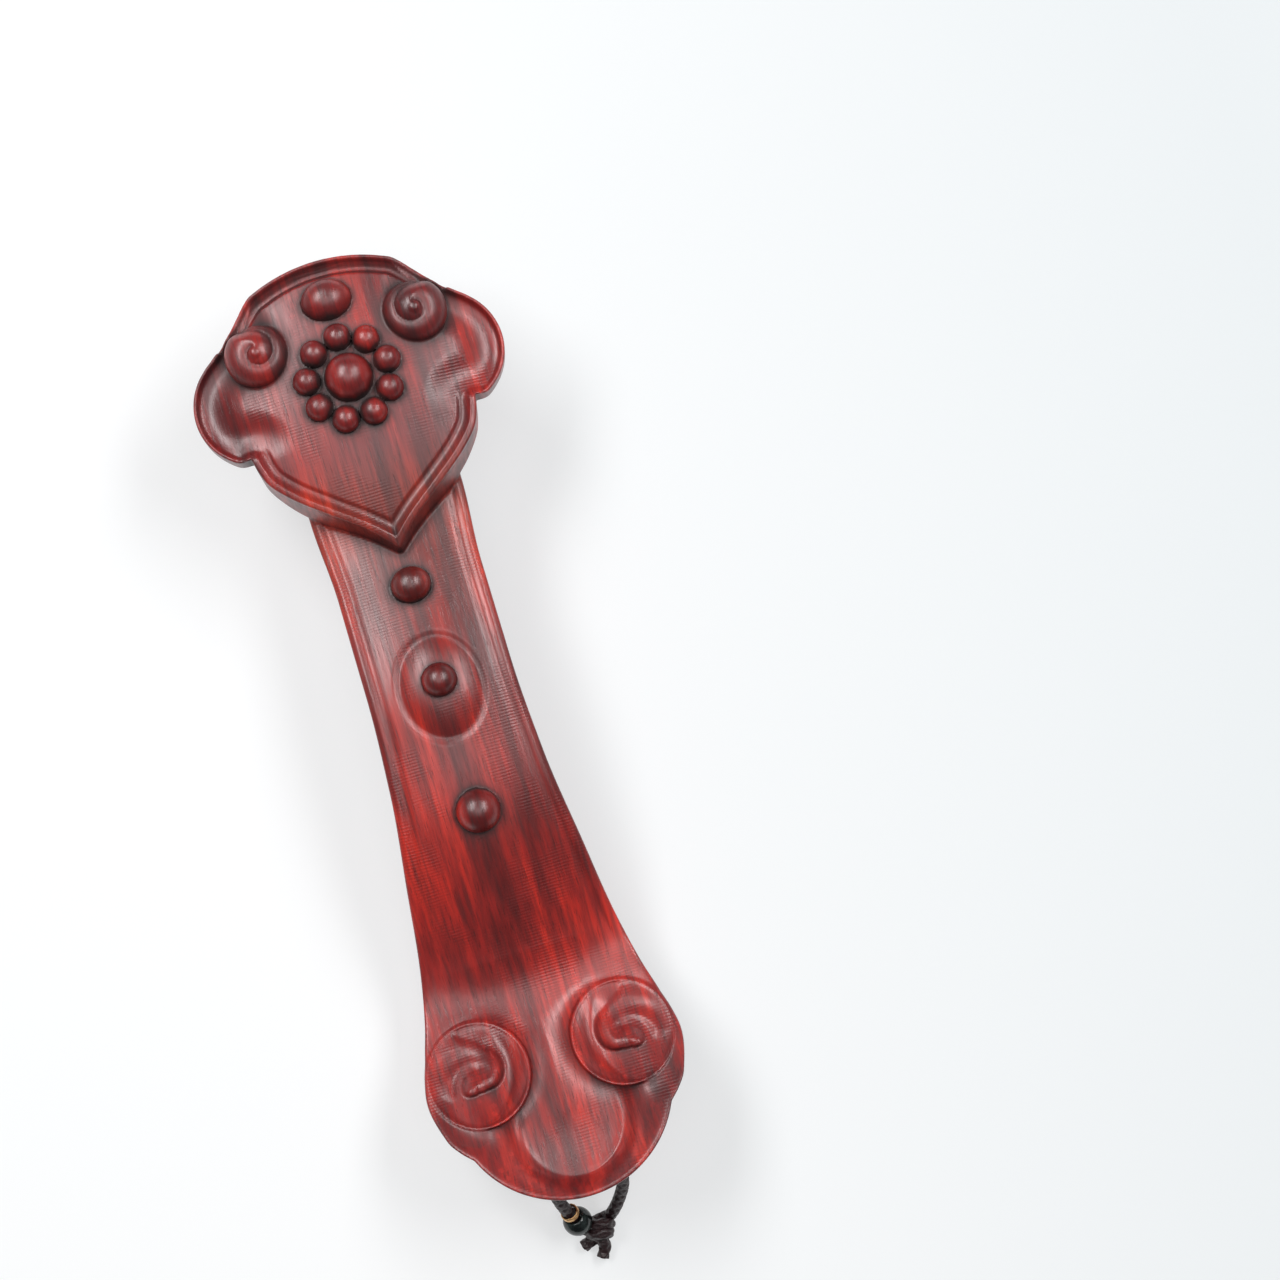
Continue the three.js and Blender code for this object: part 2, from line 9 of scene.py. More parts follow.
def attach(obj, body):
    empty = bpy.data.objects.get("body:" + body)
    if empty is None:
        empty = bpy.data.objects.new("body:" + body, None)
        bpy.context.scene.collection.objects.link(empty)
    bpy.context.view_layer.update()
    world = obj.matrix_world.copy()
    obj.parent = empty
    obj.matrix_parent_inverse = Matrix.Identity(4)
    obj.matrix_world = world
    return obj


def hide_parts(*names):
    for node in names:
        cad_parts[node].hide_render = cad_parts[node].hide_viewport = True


MM = 0.001
SHADE_AND_WORK_SIGNS = "painted_shade_and_work_signs"
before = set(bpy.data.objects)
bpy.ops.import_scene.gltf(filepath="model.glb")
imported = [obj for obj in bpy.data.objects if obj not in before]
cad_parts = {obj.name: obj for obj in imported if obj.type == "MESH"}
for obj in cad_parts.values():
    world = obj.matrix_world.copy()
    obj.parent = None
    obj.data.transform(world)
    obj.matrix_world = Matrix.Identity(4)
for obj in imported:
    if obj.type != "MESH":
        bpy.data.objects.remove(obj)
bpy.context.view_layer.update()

# Sizes of the carved block, in millimetres, in the frame's own axes
TIP = -60.8
TOP = 60.8
NECK_END = 116.0
FLOWER = (0.0, TOP - 15.9)
FACE_HEIGHT = 23.0
FACE_SIDE_DROP = 3.5
FACE_END_DROP = 3.9
FACE_REACH = 20.9
PLATE_BACK = 16.5
HALF_HEAD = 20.1
CROWN_RADIUS = 21.8
CROWN_SHOULDER = (11.7, TOP - 4.3)
UPPER_NOTCH = (13.3, TOP - 6.3)
LOBE_SHOULDER = (15.5, TOP - 8.1)
LOBE_RADIUS = 7.65
LOBE_CENTRE = (HALF_HEAD - LOBE_RADIUS, TOP - 15.4)
LOWER_NOTCH = (14.6, TOP - 22.2)
PLATE_TIP = TOP - 37.6
APRON = [(14.25, 13.7), (13.5, 11.8), (11.3, 9.3), (7.5, 6.2), (3.5, 3.2), (1.3, 1.3), (0, 0)]
WALL_FLARE = 1.1
BORDER = 1.5
BEND_REACH = 1.6
BEND_SAMPLES = 17
CURVE_STEP = 0.25
TAIL_NOTCH = 8.0
TAIL_RADIUS = 14.1
TAIL_CENTRE = TIP + 14.0
TONGUE_RADIUS = 6.5
TONGUE_CENTRE = TIP + 8.8
SCROLL_RADIUS = 6.7
SCROLL = (9.5, TIP + 17.8)
VOLUTE = (10.3, TOP - 9.8)
VOLUTE_RADIUS = 4.1
VOLUTE_HEIGHT = 3.0
TOP_BOSS = TOP - 5.5
TOP_BOSS_HALF = (3.2, 2.7)
UPPER_BOSS = TIP + 79.0
LOWER_BOSS = TIP + 49.4
DOME = TIP + 65.5
DOME_HALF = (5.2, 6.5)
DOME_HEIGHT = 1.2
DOME_PIT = 0.4
DOME_BALL = TIP + 66.3
TUNNEL_RADIUS = 1.15
TUNNEL_SPAN_POINTS = 5
CROWN_EASE = 2.2
LOBE_TRIM = (0.3, 0.2)
SIDE_POINTS = 220
TAIL_POINTS = 40
CROWN_POINTS = 8
LOBE_POINTS = 9
OUTLINE_SPAN_POINTS = 8

# The balls: the flower's heart and petals, the bosses and the volutes' eyes
HEART_RADIUS = 3.05
HEART_RISE = 0.3
PETALS = 9
PETAL_RING = 5.3
PETAL_RADIUS = 1.72
PETAL_RISE = 0.45
TOP_BOSS_HEIGHT = 2.5
UPPER_BOSS_HALF = (2.55, 2.3, 2.3)
LOWER_BOSS_HALF = (2.8, 2.8, 2.7)
BOSS_RISE = 0.3
DOME_BALL_HALF = (2.2, 2.1, 2.1)
DOME_BALL_SINK = 0.05
EYE_HALF = (0.9, 0.9, 0.8)
EYE_SINK = 0.7

# The front of handle and tail: its border strip, its field, the tail's dish and the lip round it
STRIP_HEIGHT = 0.32
STRIP_WIDTH = 0.9
FIELD_HEIGHT = 0.75
FIELD_EASE = 1.2
BORDER_GROOVE = (0.12, 0.45)
BORDER_GROOVE_IN = 0.1
BORDER_START = (TIP + 24, TIP + 31)
TAIL_CROWN = 0.35
LIP_EASE = 0.3
LIP_EDGE = 0.45
LIP_POWER = 1.3
LIP_SOFT = 0.5
TONGUE_GROOVE = (0.3, 0.8)
TONGUE_GROOVE_OUT = 0.7
TONGUE_GROOVE_EDGE = (1.2, 3)
TONGUE_END = (TIP + 8, TIP + 15)
DISC_RISE = 1.1
DISC_REACH = 1.3
DISC_POWER = 1.2
DISC_FADE = (0, 1.5)
DISH_END = (TIP + 21.6, TIP + 37.6)
DOME_POWER = 2.3
DOME_OUT = 1.1
DOME_JOIN = 0.2
PIT_WALL = (-0.2, 0.9)

# The head plate's face: rims, channels along crown and lobes, and the apron's ridge with its slope
RIM_HEIGHT = 0.45
RIM_SLOPE = (0.2, 0.9)
CROWN_CHANNEL_DEPTH = 1.0
CROWN_CHANNEL_WALL = (0.3, 1.7)
CROWN_CHANNEL_END = (1.9, 2.5)
LOBE_CHANNEL_DEPTH = 0.95
LOBE_CHANNEL_START = 0.35
LOBE_CHANNEL_WIDTH = 6.2
LOBE_CHANNEL_FADE = (37.6, 43.0)
DEEPEST_HOLLOW = 4 / 27
RIDGE_HEIGHT = 0.95
RIDGE_TOP = 0.75
RIDGE_FOOT = 2.1
RIDGE_FOOT_END = 2.6
RIDGE_FOOT_DEPTH = 0.17
RIDGE_FADE = (38.2, 40.0)

# How far the block's parts blend into each other, in millimetres
FRONT_EDGE = 0.35
BACK_EDGE = 1.6
BACK_SLOPE = 0.95
STEEPEST = 5
SCROLL_EDGE = 0.3
SCROLL_JOIN = 0.25
SCROLL_BOTTOM = 5
FACE_EDGE = 0.28
PLATE_BACK_EDGE = 0.7
PLATE_JOIN = 0.4
COVE_REACH = 5.6
COVE_INSET = 0.9
COVE_TOP = 0.6
COVE_OVERLAP = 0.5
COVE_JOIN = 0.5
VOLUTE_GROOVE = 0.85
VOLUTE_JOIN = 0.3
BALL_JOIN = 0.14
TUNNEL_MOUTH = 0.25
FLARE_START = 38
FLARE_FADE = 10
FLARE_TOP = 20.5
FLARE_HEIGHT = 4

# The grid that the block is carved on, where its tunnel ends, and how its points settle and get their signs:
# the reaches of the painted shade and the worked places
GRID_STEP = 0.25
GRID_SPANS = ((-21, 21), (-62, 62), (-1, 28))
GRID_SLAB = 40
TUNNEL_ENDS = TIP + 6.8
SETTLE_NUDGE = 0.04
NORMAL_NUDGE = 0.09
EVEN_ROUNDS = 2
EVEN_SHARE = 0.5
PAINTED_SHADE_REACHES = (0.6, 1.6, 3.8)
WORKED_RISE = (0.35, 0.75)
WORKED_GAP = (0.1, 0.7)

# The tail scroll: a ramp in degrees round the disc and its foot's distance and depth
RAMP_RIM = 6.35
RAMP_ANGLES = [60, 72, 80, 92, 105, 118, 148, 173, 198, 228, 253, 283, 303, 323, 345, 420]
RAMP_FOOT = [5.8, 5.7, 5.5, 5.0, 4.5, 4.1, 3.9, 3.7, 3.5, 3.3, 3.1, 3.2, 3.7, 4.6, 5.4, 5.8]
RAMP_DEPTH = [0, 0.1, 0.8, 1.1, 1.25, 1.35, 1.6, 1.9, 2.3, 2.9, 3.4, 3.2, 2.1, 0.8, 0.1, 0]
RAMP_POWER = [1.3, 1.3, 1.3, 1.3, 1.3, 1.3, 1.3, 1.2, 1.0, 0.75, 0.6, 0.6, 0.7, 1.0, 1.3, 1.3]
STEEP_WALL = (-0.4, 1.2)
SLOW_WALL = (0.1, 2.3)
STEEP_SHARE = 0.65
INNER_GROOVE = [
    (2.3, -3.0, 0.6), (2.8, -1.9, 0.85), (2.65, -0.6, 0.95), (1.9, 0.4, 1.0), (0.8, 0.8, 0.9),
    (-0.4, 0.5, 0.45), (-1.1, -0.1, 0.0),
]
INNER_GROOVE_DEPTH = 0.85
INNER_GROOVE_WIDTH = 0.75
ARM_CHANNEL = [
    (4.9, 0.3, 0.0), (4.2, 1.5, 0.3), (3.0, 2.2, 0.45), (0.8, 2.5, 0.5), (-0.9, 1.8, 0.2), (-1.3, 1.2, 0),
]
ARM_CHANNEL_DEPTH = 1.1
ARM_CHANNEL_WIDTH = 0.85
DISC_CROWN = 0.25
DISC_FALL = 0.3
BUD = (1.2, -1.8)
BUD_HEIGHT = 0.55
BUD_SPREAD = (1.6, 2.0)
ARM_END = (-1.2, -1.3)
ARM_END_HEIGHT = 0.2
ARM_END_SPREAD = 1.4
RIM_LINE_HEIGHT = 0.14
RIM_LINE_OUT = 0.05
RIM_LINE_WIDTH = 0.22
STROKE_SPAN_POINTS = 6

# The spiral cut into each volute
VOLUTE_SPIRAL = {
    "start": math.radians(40), "pitch": 0.22, "sweep": 7.6, "outer": 3.9, "depth": 0.6, "soft": 1.1,
    "wall": 0.75,
}
SPIRAL_FADES = (0.7, 1.0)

# The cord's points, in millimetres: across, distance from the tail's tip towards the head, height
CORD_DIAMETER = 1.6
CORD_ROUTE = [
    (1.15, -4.8, 2.95),
    (2.35, -3.55, 4.4),
    (3.35, -2.15, 6.3),
    (4.05, -0.7, 8.6),
    (4.2, 0.6, 10.4),
    (3.75, 2.2, 11.2),
    (2.5, 3.9, 11.4),
    (0, 4.8, 11.4),
    (-2.5, 3.9, 11.4),
    (-3.9, 2.2, 11.3),
    (-4.45, 0.7, 10.5),
]
LEFT_STRAND = [(-4.3, -0.6, 9), (-2.4, -5.15, 2.5)]
LONG_TAIL = [(-0.45, -8.25, 1.15), (-0.75, -8.9, 0.95), (-1.15, -9.65, 0.85)]
SHORT_TAIL = [(-1.9, -7.1, 1.2), (-2.5, -7.35, 1.0), (-3.1, -7.6, 0.85)]
KNOT_CORE = [(-1.75, -5.85, 2.1), (-1.15, -6.5, 2.0), (-0.65, -7.35, 1.7)]
KNOT_TOP = (0.1, -4.65, 2.3)
KNOT_FOOT = (-0.8, -6.9, 2.2)
KNOT_RADIUS = 1.2
KNOT_ANGLES = (-0.1, -4.5)
TURN_POINTS = 28
EXIT = 3
CORD_SPAN_POINTS = 40
CORD_STEP = 0.1
CORD_SIDES = 28

# The braid's surface: turn per millimetre, and the shares of the radius in its core and its strands
BRAID_TURN = 2.1
BRAID_CORE = 0.76
BRAID_SWELL = 0.27
BRAID_POWER = 1.5

# Bead and spacer, in millimetres
BEAD_FROM_END = 2.1
BEAD_RADIUS = 1.9
BORE_RADIUS = 0.95
SPACER_RADIUS = 1.2
SPACER_LENGTH = 0.8
BEAD_TO_SPACER = 0.3
MOUTH_WIDTH = 0.22
MOUTH_DEPTH = 0.2
MOUTH_EASE = 0.06
SPACER_ROUND = 0.16
SPACER_WAIST = 0.05
SPACER_MOUTH_DEPTH = 0.1
SPACER_MOUTH_EASE = 0.03
WAIST_WIDTH = 0.25
TURNED_SIDES = 64
BEAD_POINTS = 25
SPACER_POINTS = 13

# Camera, where the photograph was taken from
CAMERA_PLACE = (3.31, -30.0, 400.0)
CAMERA_AIM = (25.8, 3.55, 15.0)
ROLL = 0.294
CAMERA_FOCAL_PIXELS = 3048.0
PHOTO_PIXELS = 1280.0
SENSOR_MM = 36.0
CLIP_METRES = (0.01, 10)

# Painted light along the sceptre, from the tail (0) over the brownish neck to the maroon head (1): the neck's
# warm orange stands in for how it looks in shade, the head's purplish tint for its sheen
LENGTH_METRES = 0.1216
PAINTED_LIGHT_TINTS = [
    (0.0, (0.98, 1.05, 1.1)), (0.3, (1.15, 1.0, 0.95)), (0.6, (1.1, 1.15, 1.0)), (0.74, (1.2, 2.0, 1.2)),
    (0.8, (0.95, 1.0, 1.1)), (1.0, (0.92, 1.0, 1.15)),
]

# Share of the floor that shows at full brightness, so that its shadows stay as light as in the photograph
FLOOR_GLOW = 0.55
FLOOR_HALF = 3.0
FLOOR_DROP = 0.00002
# Painted shade on the floor: nearly white on the left, bluer and greyer to the right
FLOOR_LEFT = (0.95, 0.96, 0.965)
FLOOR_SHADED_RIGHT = (0.8, 0.835, 0.85)
FLOOR_SHADE_START = 0.02
FLOOR_SHADE_RATE = 7.0

# Softboxes: across and upwards in the photograph's own directions and height, in metres, size and watts
SOFTBOXES = {
    "left_softbox": (-0.34, 0.24, 0.58, (0.2, 0.5), 3.3),
    "right_softbox": (0.34, 0.24, 0.58, (0.2, 0.5), 2.7),
    "ceiling_softbox": (0.0, -0.1, 0.95, (0.5, 0.5), 1.5),
}
LIGHT_AIM = (0, 0, 0.012)
DAYLIGHT = {"Color": (0.93, 0.96, 1, 1), "Strength": 0.1}

# Grain sizes across, along and through the wood, those of the other pieces, in millimetres, and finishes
BAND_GRAIN = (4.2, 46.0, 14.0)
FIBRE_GRAIN = (0.5, 13.0, 3.0)
PORE_GRAIN = (0.16, 3.2, 0.9)
PATCH_GRAIN = (7.0, 9.0, 7.0)
FLUFF_GRAIN = (0.16, 0.16, 0.16)
CLOUD_GRAIN = (1.4, 1.4, 1.4)
WEAR_GRAIN = (0.5, 0.5, 0.5)
WAX = {
    "Specular IOR Level": 0.8, "Coat Weight": 0.25, "Coat Roughness": 0.3, "Coat Tint": (1.0, 0.93, 0.95, 1),
}
CUTTER = {"Scale": 0.8, "Distortion": 2.6, "Detail": 2.0, "Detail Scale": 0.2}
PORE_COLOUR = (0.02, 0.002, 0.002, 1)
CUT_COLOUR = (0.06, 0.004, 0.005, 1)

# Heights of the finest relief, in metres
WOOD_RELIEF = 0.00005
CORD_RELIEF = 0.00006


def curve_through(points):
    """A smooth function through (x, y) points that never overshoots them."""
    xs = np.array([p[0] for p in points], dtype=float)
    ys = np.array([p[1] for p in points], dtype=float)
    steps = np.diff(ys) / np.diff(xs)
    slopes = np.zeros(len(xs))
    slopes[0], slopes[-1] = steps[0], steps[-1]
    product = steps[:-1] * steps[1:]
    total = np.where(product > 0, steps[:-1] + steps[1:], 1.0)
    slopes[1:-1] = np.where(product > 0, 2 * product / total, 0.0)

    def at(x):
        x = np.asarray(x, dtype=float)
        i = np.clip(np.searchsorted(xs, x) - 1, 0, len(xs) - 2)
        span = xs[i + 1] - xs[i]
        t = np.clip((x - xs[i]) / span, 0, 1)
        risen = t * t * (3 - 2 * t)
        leaving = t * (1 - t) ** 2 * slopes[i]
        arriving = t * t * (t - 1) * slopes[i + 1]
        return ys[i] * (1 - risen) + ys[i + 1] * risen + (leaving + arriving) * span

    return at


def from_tip(pairs):
    return curve_through([(TIP + along, value) for along, value in pairs])


side_width = from_tip([
    (8, 12.78), (9.1, 13.95), (11, 15.35), (16.1, 16.65), (21.6, 15.45), (25.6, 14.35), (33.6, 12.75),
    (41.6, 11.65), (54.6, 10), (67, 9.4), (79.6, 9.4), (90.6, 10), (109, 10), (114, 8.6), (116, 5.4),
])
back_height = from_tip([
    (0, 8.5), (7, 5.6), (14, 2.2), (20.5, 0.34), (22.5, 0), (27.5, 0), (29.5, 0.94), (40, 5), (52, 8.1),
    (64, 9.4), (78, 6.4), (89.5, 2.07), (98.5, 0), (103.5, 0), (107, 1.8), (110.5, 4.5), (113.1, 7.5),
    (116, 15),
])
edge_height = from_tip([
    (0, 21), (3, 20.8), (6, 19.8), (9, 18.3), (12.2, 16.3), (15.5, 14), (18.8, 12.2), (21.8, 10.5),
    (24.6, 9.2), (28, 8.6), (31.6, 9.3), (36, 11), (45, 14.8), (51.5, 16.8), (58.7, 18), (65.5, 18.7),
    (79.6, 17.3), (88.6, 16.5), (116, 16.5),
])
dish_drop = from_tip([(0, 3.4), (10, 3.4), (16, 2.8), (21, 1.9), (26, 0.7), (31, 0)])
cove_foot = from_tip([(80, 16.5), (88, 14), (92, 12), (99, 9), (107, 8.5), (112, 10.5), (118, 15.5)])


def eased(curve):
    """The same curve along the sceptre, with its bends spread over a few millimetres."""
    places = np.arange(TIP - 3, TOP + 3, CURVE_STEP)
    shifts = np.linspace(-2, 2, BEND_SAMPLES)
    weights = np.exp(-shifts ** 2 / 2)
    values = sum(w * curve(places + shift * BEND_REACH) for w, shift in zip(weights, shifts)) / weights.sum()
    return lambda y: np.interp(y, places, values)


edge_height = eased(edge_height)


def smooth_step(x, low, high):
    t = np.clip((x - low) / (high - low), 0, 1)
    return t * t * (3 - 2 * t)


def smooth_max(a, b, k):
    h = np.clip(0.5 + 0.5 * (a - b) / k, 0, 1)
    return b * (1 - h) + a * h + k * h * (1 - h)


def smooth_min(a, b, k):
    return -smooth_max(-a, -b, k)


def handle_outline():
    """Right half of the plan of handle and tail, from the neck's top down to the tail tip."""
    ys = np.linspace(TIP + NECK_END, TIP + TAIL_NOTCH, SIDE_POINTS)
    sides = [(float(side_width(y)), float(y)) for y in ys]
    start = math.atan2(TIP + TAIL_NOTCH - TAIL_CENTRE, sides[-1][0])
    angles = np.linspace(start, -math.pi / 2, TAIL_POINTS)[1:]
    arc = [(TAIL_RADIUS * math.cos(a), TAIL_CENTRE + TAIL_RADIUS * math.sin(a)) for a in angles]
    return [(0.0, TIP + NECK_END), *sides, *arc]


def smooth_line(points):
    return catmull_rom([(x, y, 0) for x, y in points], OUTLINE_SPAN_POINTS)[:, :2].tolist()


def crown_line():
    """The head plate's outline from the top of the head to the upper notch."""
    centre_y = TOP - CROWN_RADIUS
    end = math.asin((CROWN_SHOULDER[0] - CROWN_EASE) / CROWN_RADIUS)
    angles = np.linspace(0, end, CROWN_POINTS)
    arc = [(CROWN_RADIUS * math.sin(a), centre_y + CROWN_RADIUS * math.cos(a)) for a in angles]
    return smooth_line([*arc, CROWN_SHOULDER, UPPER_NOTCH])


def lobe_line():
    """The outline round the lobe, from the upper notch to the lower one."""
    cx, cy = LOBE_CENTRE
    first = math.atan2(LOBE_SHOULDER[1] - cy, LOBE_SHOULDER[0] - cx) - LOBE_TRIM[0]
    last = math.atan2(LOWER_NOTCH[1] - cy, LOWER_NOTCH[0] - cx) + LOBE_TRIM[1]
    angles = np.linspace(first, last, LOBE_POINTS)
    arc = [(cx + LOBE_RADIUS * math.cos(a), cy + LOBE_RADIUS * math.sin(a)) for a in angles]
    return smooth_line([UPPER_NOTCH, LOBE_SHOULDER, *arc, LOWER_NOTCH])


def apron_line():
    """The outline from the lower notch to the pointed tip."""
    return smooth_line([LOWER_NOTCH, *((x, PLATE_TIP + up) for x, up in APRON)])


def catmull_rom(points, per_span):
    """Points along a centripetal Catmull-Rom curve through the given 3-D points."""
    p = [np.array(q, dtype=float) for q in points]
    p = [2 * p[0] - p[1], *p, 2 * p[-1] - p[-2]]
    out = []
    for i in range(1, len(p) - 2):
        a, b, c, d = p[i - 1], p[i], p[i + 1], p[i + 2]
        t0 = 0.0
        t1 = t0 + max(np.linalg.norm(b - a), 1e-6) ** 0.5
        t2 = t1 + max(np.linalg.norm(c - b), 1e-6) ** 0.5
        t3 = t2 + max(np.linalg.norm(d - c), 1e-6) ** 0.5
        for t in np.linspace(t1, t2, per_span, endpoint=False):
            ab = (t1 - t) / (t1 - t0) * a + (t - t0) / (t1 - t0) * b
            bc = (t2 - t) / (t2 - t1) * b + (t - t1) / (t2 - t1) * c
            cd = (t3 - t) / (t3 - t2) * c + (t - t2) / (t3 - t2) * d
            abc = (t2 - t) / (t2 - t0) * ab + (t - t0) / (t2 - t0) * bc
            bcd = (t3 - t) / (t3 - t1) * bc + (t - t1) / (t3 - t1) * cd
            out.append((t2 - t) / (t2 - t1) * abc + (t - t1) / (t2 - t1) * bcd)
    out.append(p[-2])
    return np.array(out)


class PlanMap:
    """A height or distance over the plan, kept on a fine grid of its right half and read anywhere."""

    STEP = 0.125
    X = np.arange(0, 22.01, STEP)
    Y = np.arange(-63, 63.01, STEP)

    def __init__(self, values):
        self.values = np.asarray(values, dtype=np.float32)

    @classmethod
    def grid(cls):
        return np.meshgrid(cls.X, cls.Y, indexing="ij")

    def __call__(self, x, y):
        u = np.clip(np.abs(x) / self.STEP, 0, len(self.X) - 1.001)
        v = np.clip((y - self.Y[0]) / self.STEP, 0, len(self.Y) - 1.001)
        i, j = u.astype(int), v.astype(int)
        fu, fv = (u - i).astype(np.float32), (v - j).astype(np.float32)
        m = self.values
        low = m[i, j] * (1 - fu) + m[i + 1, j] * fu
        high = m[i, j + 1] * (1 - fu) + m[i + 1, j + 1] * fu
        return low * (1 - fv) + high * fv


def distance_to_line(line):
    """Distance in plan to an open line on the right half. The line's mirror image is left out."""
    gx, gy = PlanMap.grid()
    best = np.full(gx.shape, 1e9)
    for (ax, ay), (bx, by) in zip(line[:-1], line[1:]):
        ex, ey = bx - ax, by - ay
        length = max(ex * ex + ey * ey, 1e-12)
        wx, wy = gx - ax, gy - ay
        t = np.clip((wx * ex + wy * ey) / length, 0, 1)
        best = np.minimum(best, (wx - t * ex) ** 2 + (wy - t * ey) ** 2)
    return np.sqrt(best)


def inside_of(half):
    """True at the places inside a closed outline, given by its right half."""
    gx, gy = PlanMap.grid()
    inside = np.zeros(gx.shape, dtype=bool)
    for (ax, ay), (bx, by) in zip(half[:-1], half[1:]):
        if ay == by:
            continue
        crosses = (ay > gy) != (by > gy)
        inside ^= crosses & (gx < ax + (gy - ay) * (bx - ax) / (by - ay))
    return inside


def spiral_cut(u, v, start, pitch, sweep, outer, depth, soft, wall):
    """Depth of a carved spiral: a steep wall on its outer side and a slow climb on its inner side."""
    r = np.hypot(u, v)
    turned = np.mod(np.arctan2(v, u) - start, 2 * math.pi)
    cut = np.zeros_like(r)
    for lap in range(2):
        along = turned + lap * 2 * math.pi
        edge = outer * np.exp(-pitch * along)
        inward = edge - r
        fade = smooth_step(along, 0, SPIRAL_FADES[0]) * smooth_step(sweep - along, 0, SPIRAL_FADES[1])
        here = np.where(inward > 0, np.exp(-inward / soft), np.exp(inward / wall))
        cut = np.maximum(cut, here * fade)
    return depth * cut


def stroke(u, v, points, width):
    """A soft line through (x, y, strength) points: its strength where it runs, falling off with distance."""
    line = catmull_rom(points, STROKE_SPAN_POINTS)
    best = np.zeros_like(u)
    for (ax, ay, a), (bx, by, b) in zip(line[:-1], line[1:]):
        ex, ey = bx - ax, by - ay
        t = np.clip(((u - ax) * ex + (v - ay) * ey) / max(ex * ex + ey * ey, 1e-12), 0, 1)
        distance = np.hypot(u - ax - t * ex, v - ay - t * ey)
        best = np.maximum(best, (a + (b - a) * t) * np.exp(-(distance / width) ** 2))
    return best


def scroll_relief(gx, gy):
    """Height carved on the tail scroll's disc: a ramp that dives under the coiled arm, and the arm's end."""
    u, v = gx - SCROLL[0], gy - SCROLL[1]
    r = np.hypot(u, v)
    angle = np.mod(np.degrees(np.arctan2(v, u)) - 60, 360) + 60
    foot = np.interp(angle, RAMP_ANGLES, RAMP_FOOT)
    depth = np.interp(angle, RAMP_ANGLES, RAMP_DEPTH)
    share = np.clip((RAMP_RIM - r) / (RAMP_RIM - foot), 0, 1)
    ramp = depth * share ** np.interp(angle, RAMP_ANGLES, RAMP_POWER)
    steep, slow = smooth_step(foot - r, *STEEP_WALL), smooth_step(foot - r, *SLOW_WALL)
    wall = STEEP_SHARE * steep + (1 - STEEP_SHARE) * slow
    relief = DISC_CROWN - DISC_FALL * (r / SCROLL_RADIUS) ** 2 - ramp * (1 - wall)
    relief = relief - INNER_GROOVE_DEPTH * stroke(u, v, INNER_GROOVE, INNER_GROOVE_WIDTH)
    relief = relief - ARM_CHANNEL_DEPTH * stroke(u, v, ARM_CHANNEL, ARM_CHANNEL_WIDTH)
    off_bud = (u - BUD[0]) ** 2 / BUD_SPREAD[0] + (v - BUD[1]) ** 2 / BUD_SPREAD[1]
    relief = relief + BUD_HEIGHT * np.exp(-off_bud)
    off_end = (u - ARM_END[0]) ** 2 + (v - ARM_END[1]) ** 2
    relief = relief + ARM_END_HEIGHT * np.exp(-off_end / ARM_END_SPREAD)
    rim_line = RIM_LINE_HEIGHT * np.exp(-((r - RAMP_RIM - RIM_LINE_OUT) / RIM_LINE_WIDTH) ** 2)
    return relief + rim_line


def oval(gx, gy, centre, half):
    """Distance from an oval's middle as a share of its half size."""
    return np.hypot((gx - centre[0]) / half[0], (gy - centre[1]) / half[1])


def moat(distance, depth, width):
    return -depth * np.exp(-(distance / width) ** 2)


def handle_front(gx, gy, inside):
    """Height of the front of handle and tail, without its balls and scrolls."""
    edge = edge_height(gy)
    width = np.maximum(inside + np.abs(gx) - BORDER, 0.2)
    strip = STRIP_HEIGHT * smooth_step(inside, 0, STRIP_WIDTH)
    arched = np.clip(1 - (gx / width) ** 2, 0, 1) * smooth_step(inside, BORDER, BORDER + FIELD_EASE)
    field = FIELD_HEIGHT * arched + moat(inside - BORDER - BORDER_GROOVE_IN, *BORDER_GROOVE)
    bordered = smooth_step(gy, *BORDER_START)
    crowned = edge + (strip + field) * bordered + TAIL_CROWN * (1 - bordered) * smooth_step(inside, 0, 3)
    reach = np.where(gy < TONGUE_CENTRE, np.hypot(gx, gy - TONGUE_CENTRE), np.abs(gx))
    past = np.maximum(0, reach - TONGUE_RADIUS + LIP_EASE)
    past = np.sqrt(past ** 2 + LIP_SOFT ** 2) - LIP_SOFT
    climb = past / (past + np.maximum(inside - LIP_EDGE, 0.01))
    lip = 1 - (1 - climb) ** LIP_POWER
    dished = edge - dish_drop(gy) * (1 - lip)
    tongue_foot = moat(reach - TONGUE_RADIUS - TONGUE_GROOVE_OUT, *TONGUE_GROOVE)
    tongue_foot = tongue_foot * (1 - smooth_step(gy, *TONGUE_END))
    dished = dished + tongue_foot * smooth_step(inside, *TONGUE_GROOVE_EDGE)
    off_disc = np.maximum(np.hypot(gx - SCROLL[0], gy - SCROLL[1]) - SCROLL_RADIUS, 0)
    beside_disc = np.exp(-(off_disc / DISC_REACH) ** DISC_POWER)
    dished = dished + DISC_RISE * beside_disc * smooth_step(edge - dished, *DISC_FADE)
    front = dished + (crowned - dished) * smooth_step(gy, *DISH_END)
    share = oval(gx, gy, (0, DOME), DOME_HALF)
    risen = DOME_HEIGHT * (1 - np.clip(share, 0, DOME_OUT) ** DOME_POWER) - DOME_PIT
    out = (share - 1) * DOME_HALF[0]
    wall = -DOME_PIT * (1 - smooth_step(out, *PIT_WALL))
    return front + np.where(share < DOME_OUT, smooth_max(risen, wall, DOME_JOIN), wall)


def face_at(x, y):
    """Height of the head plate's sunk face, without its borders."""
    sideways = (x / HALF_HEAD) ** 2
    lengthways = ((y - FLOWER[1]) / FACE_REACH) ** 2
    return FACE_HEIGHT - FACE_SIDE_DROP * sideways - FACE_END_DROP * lengthways


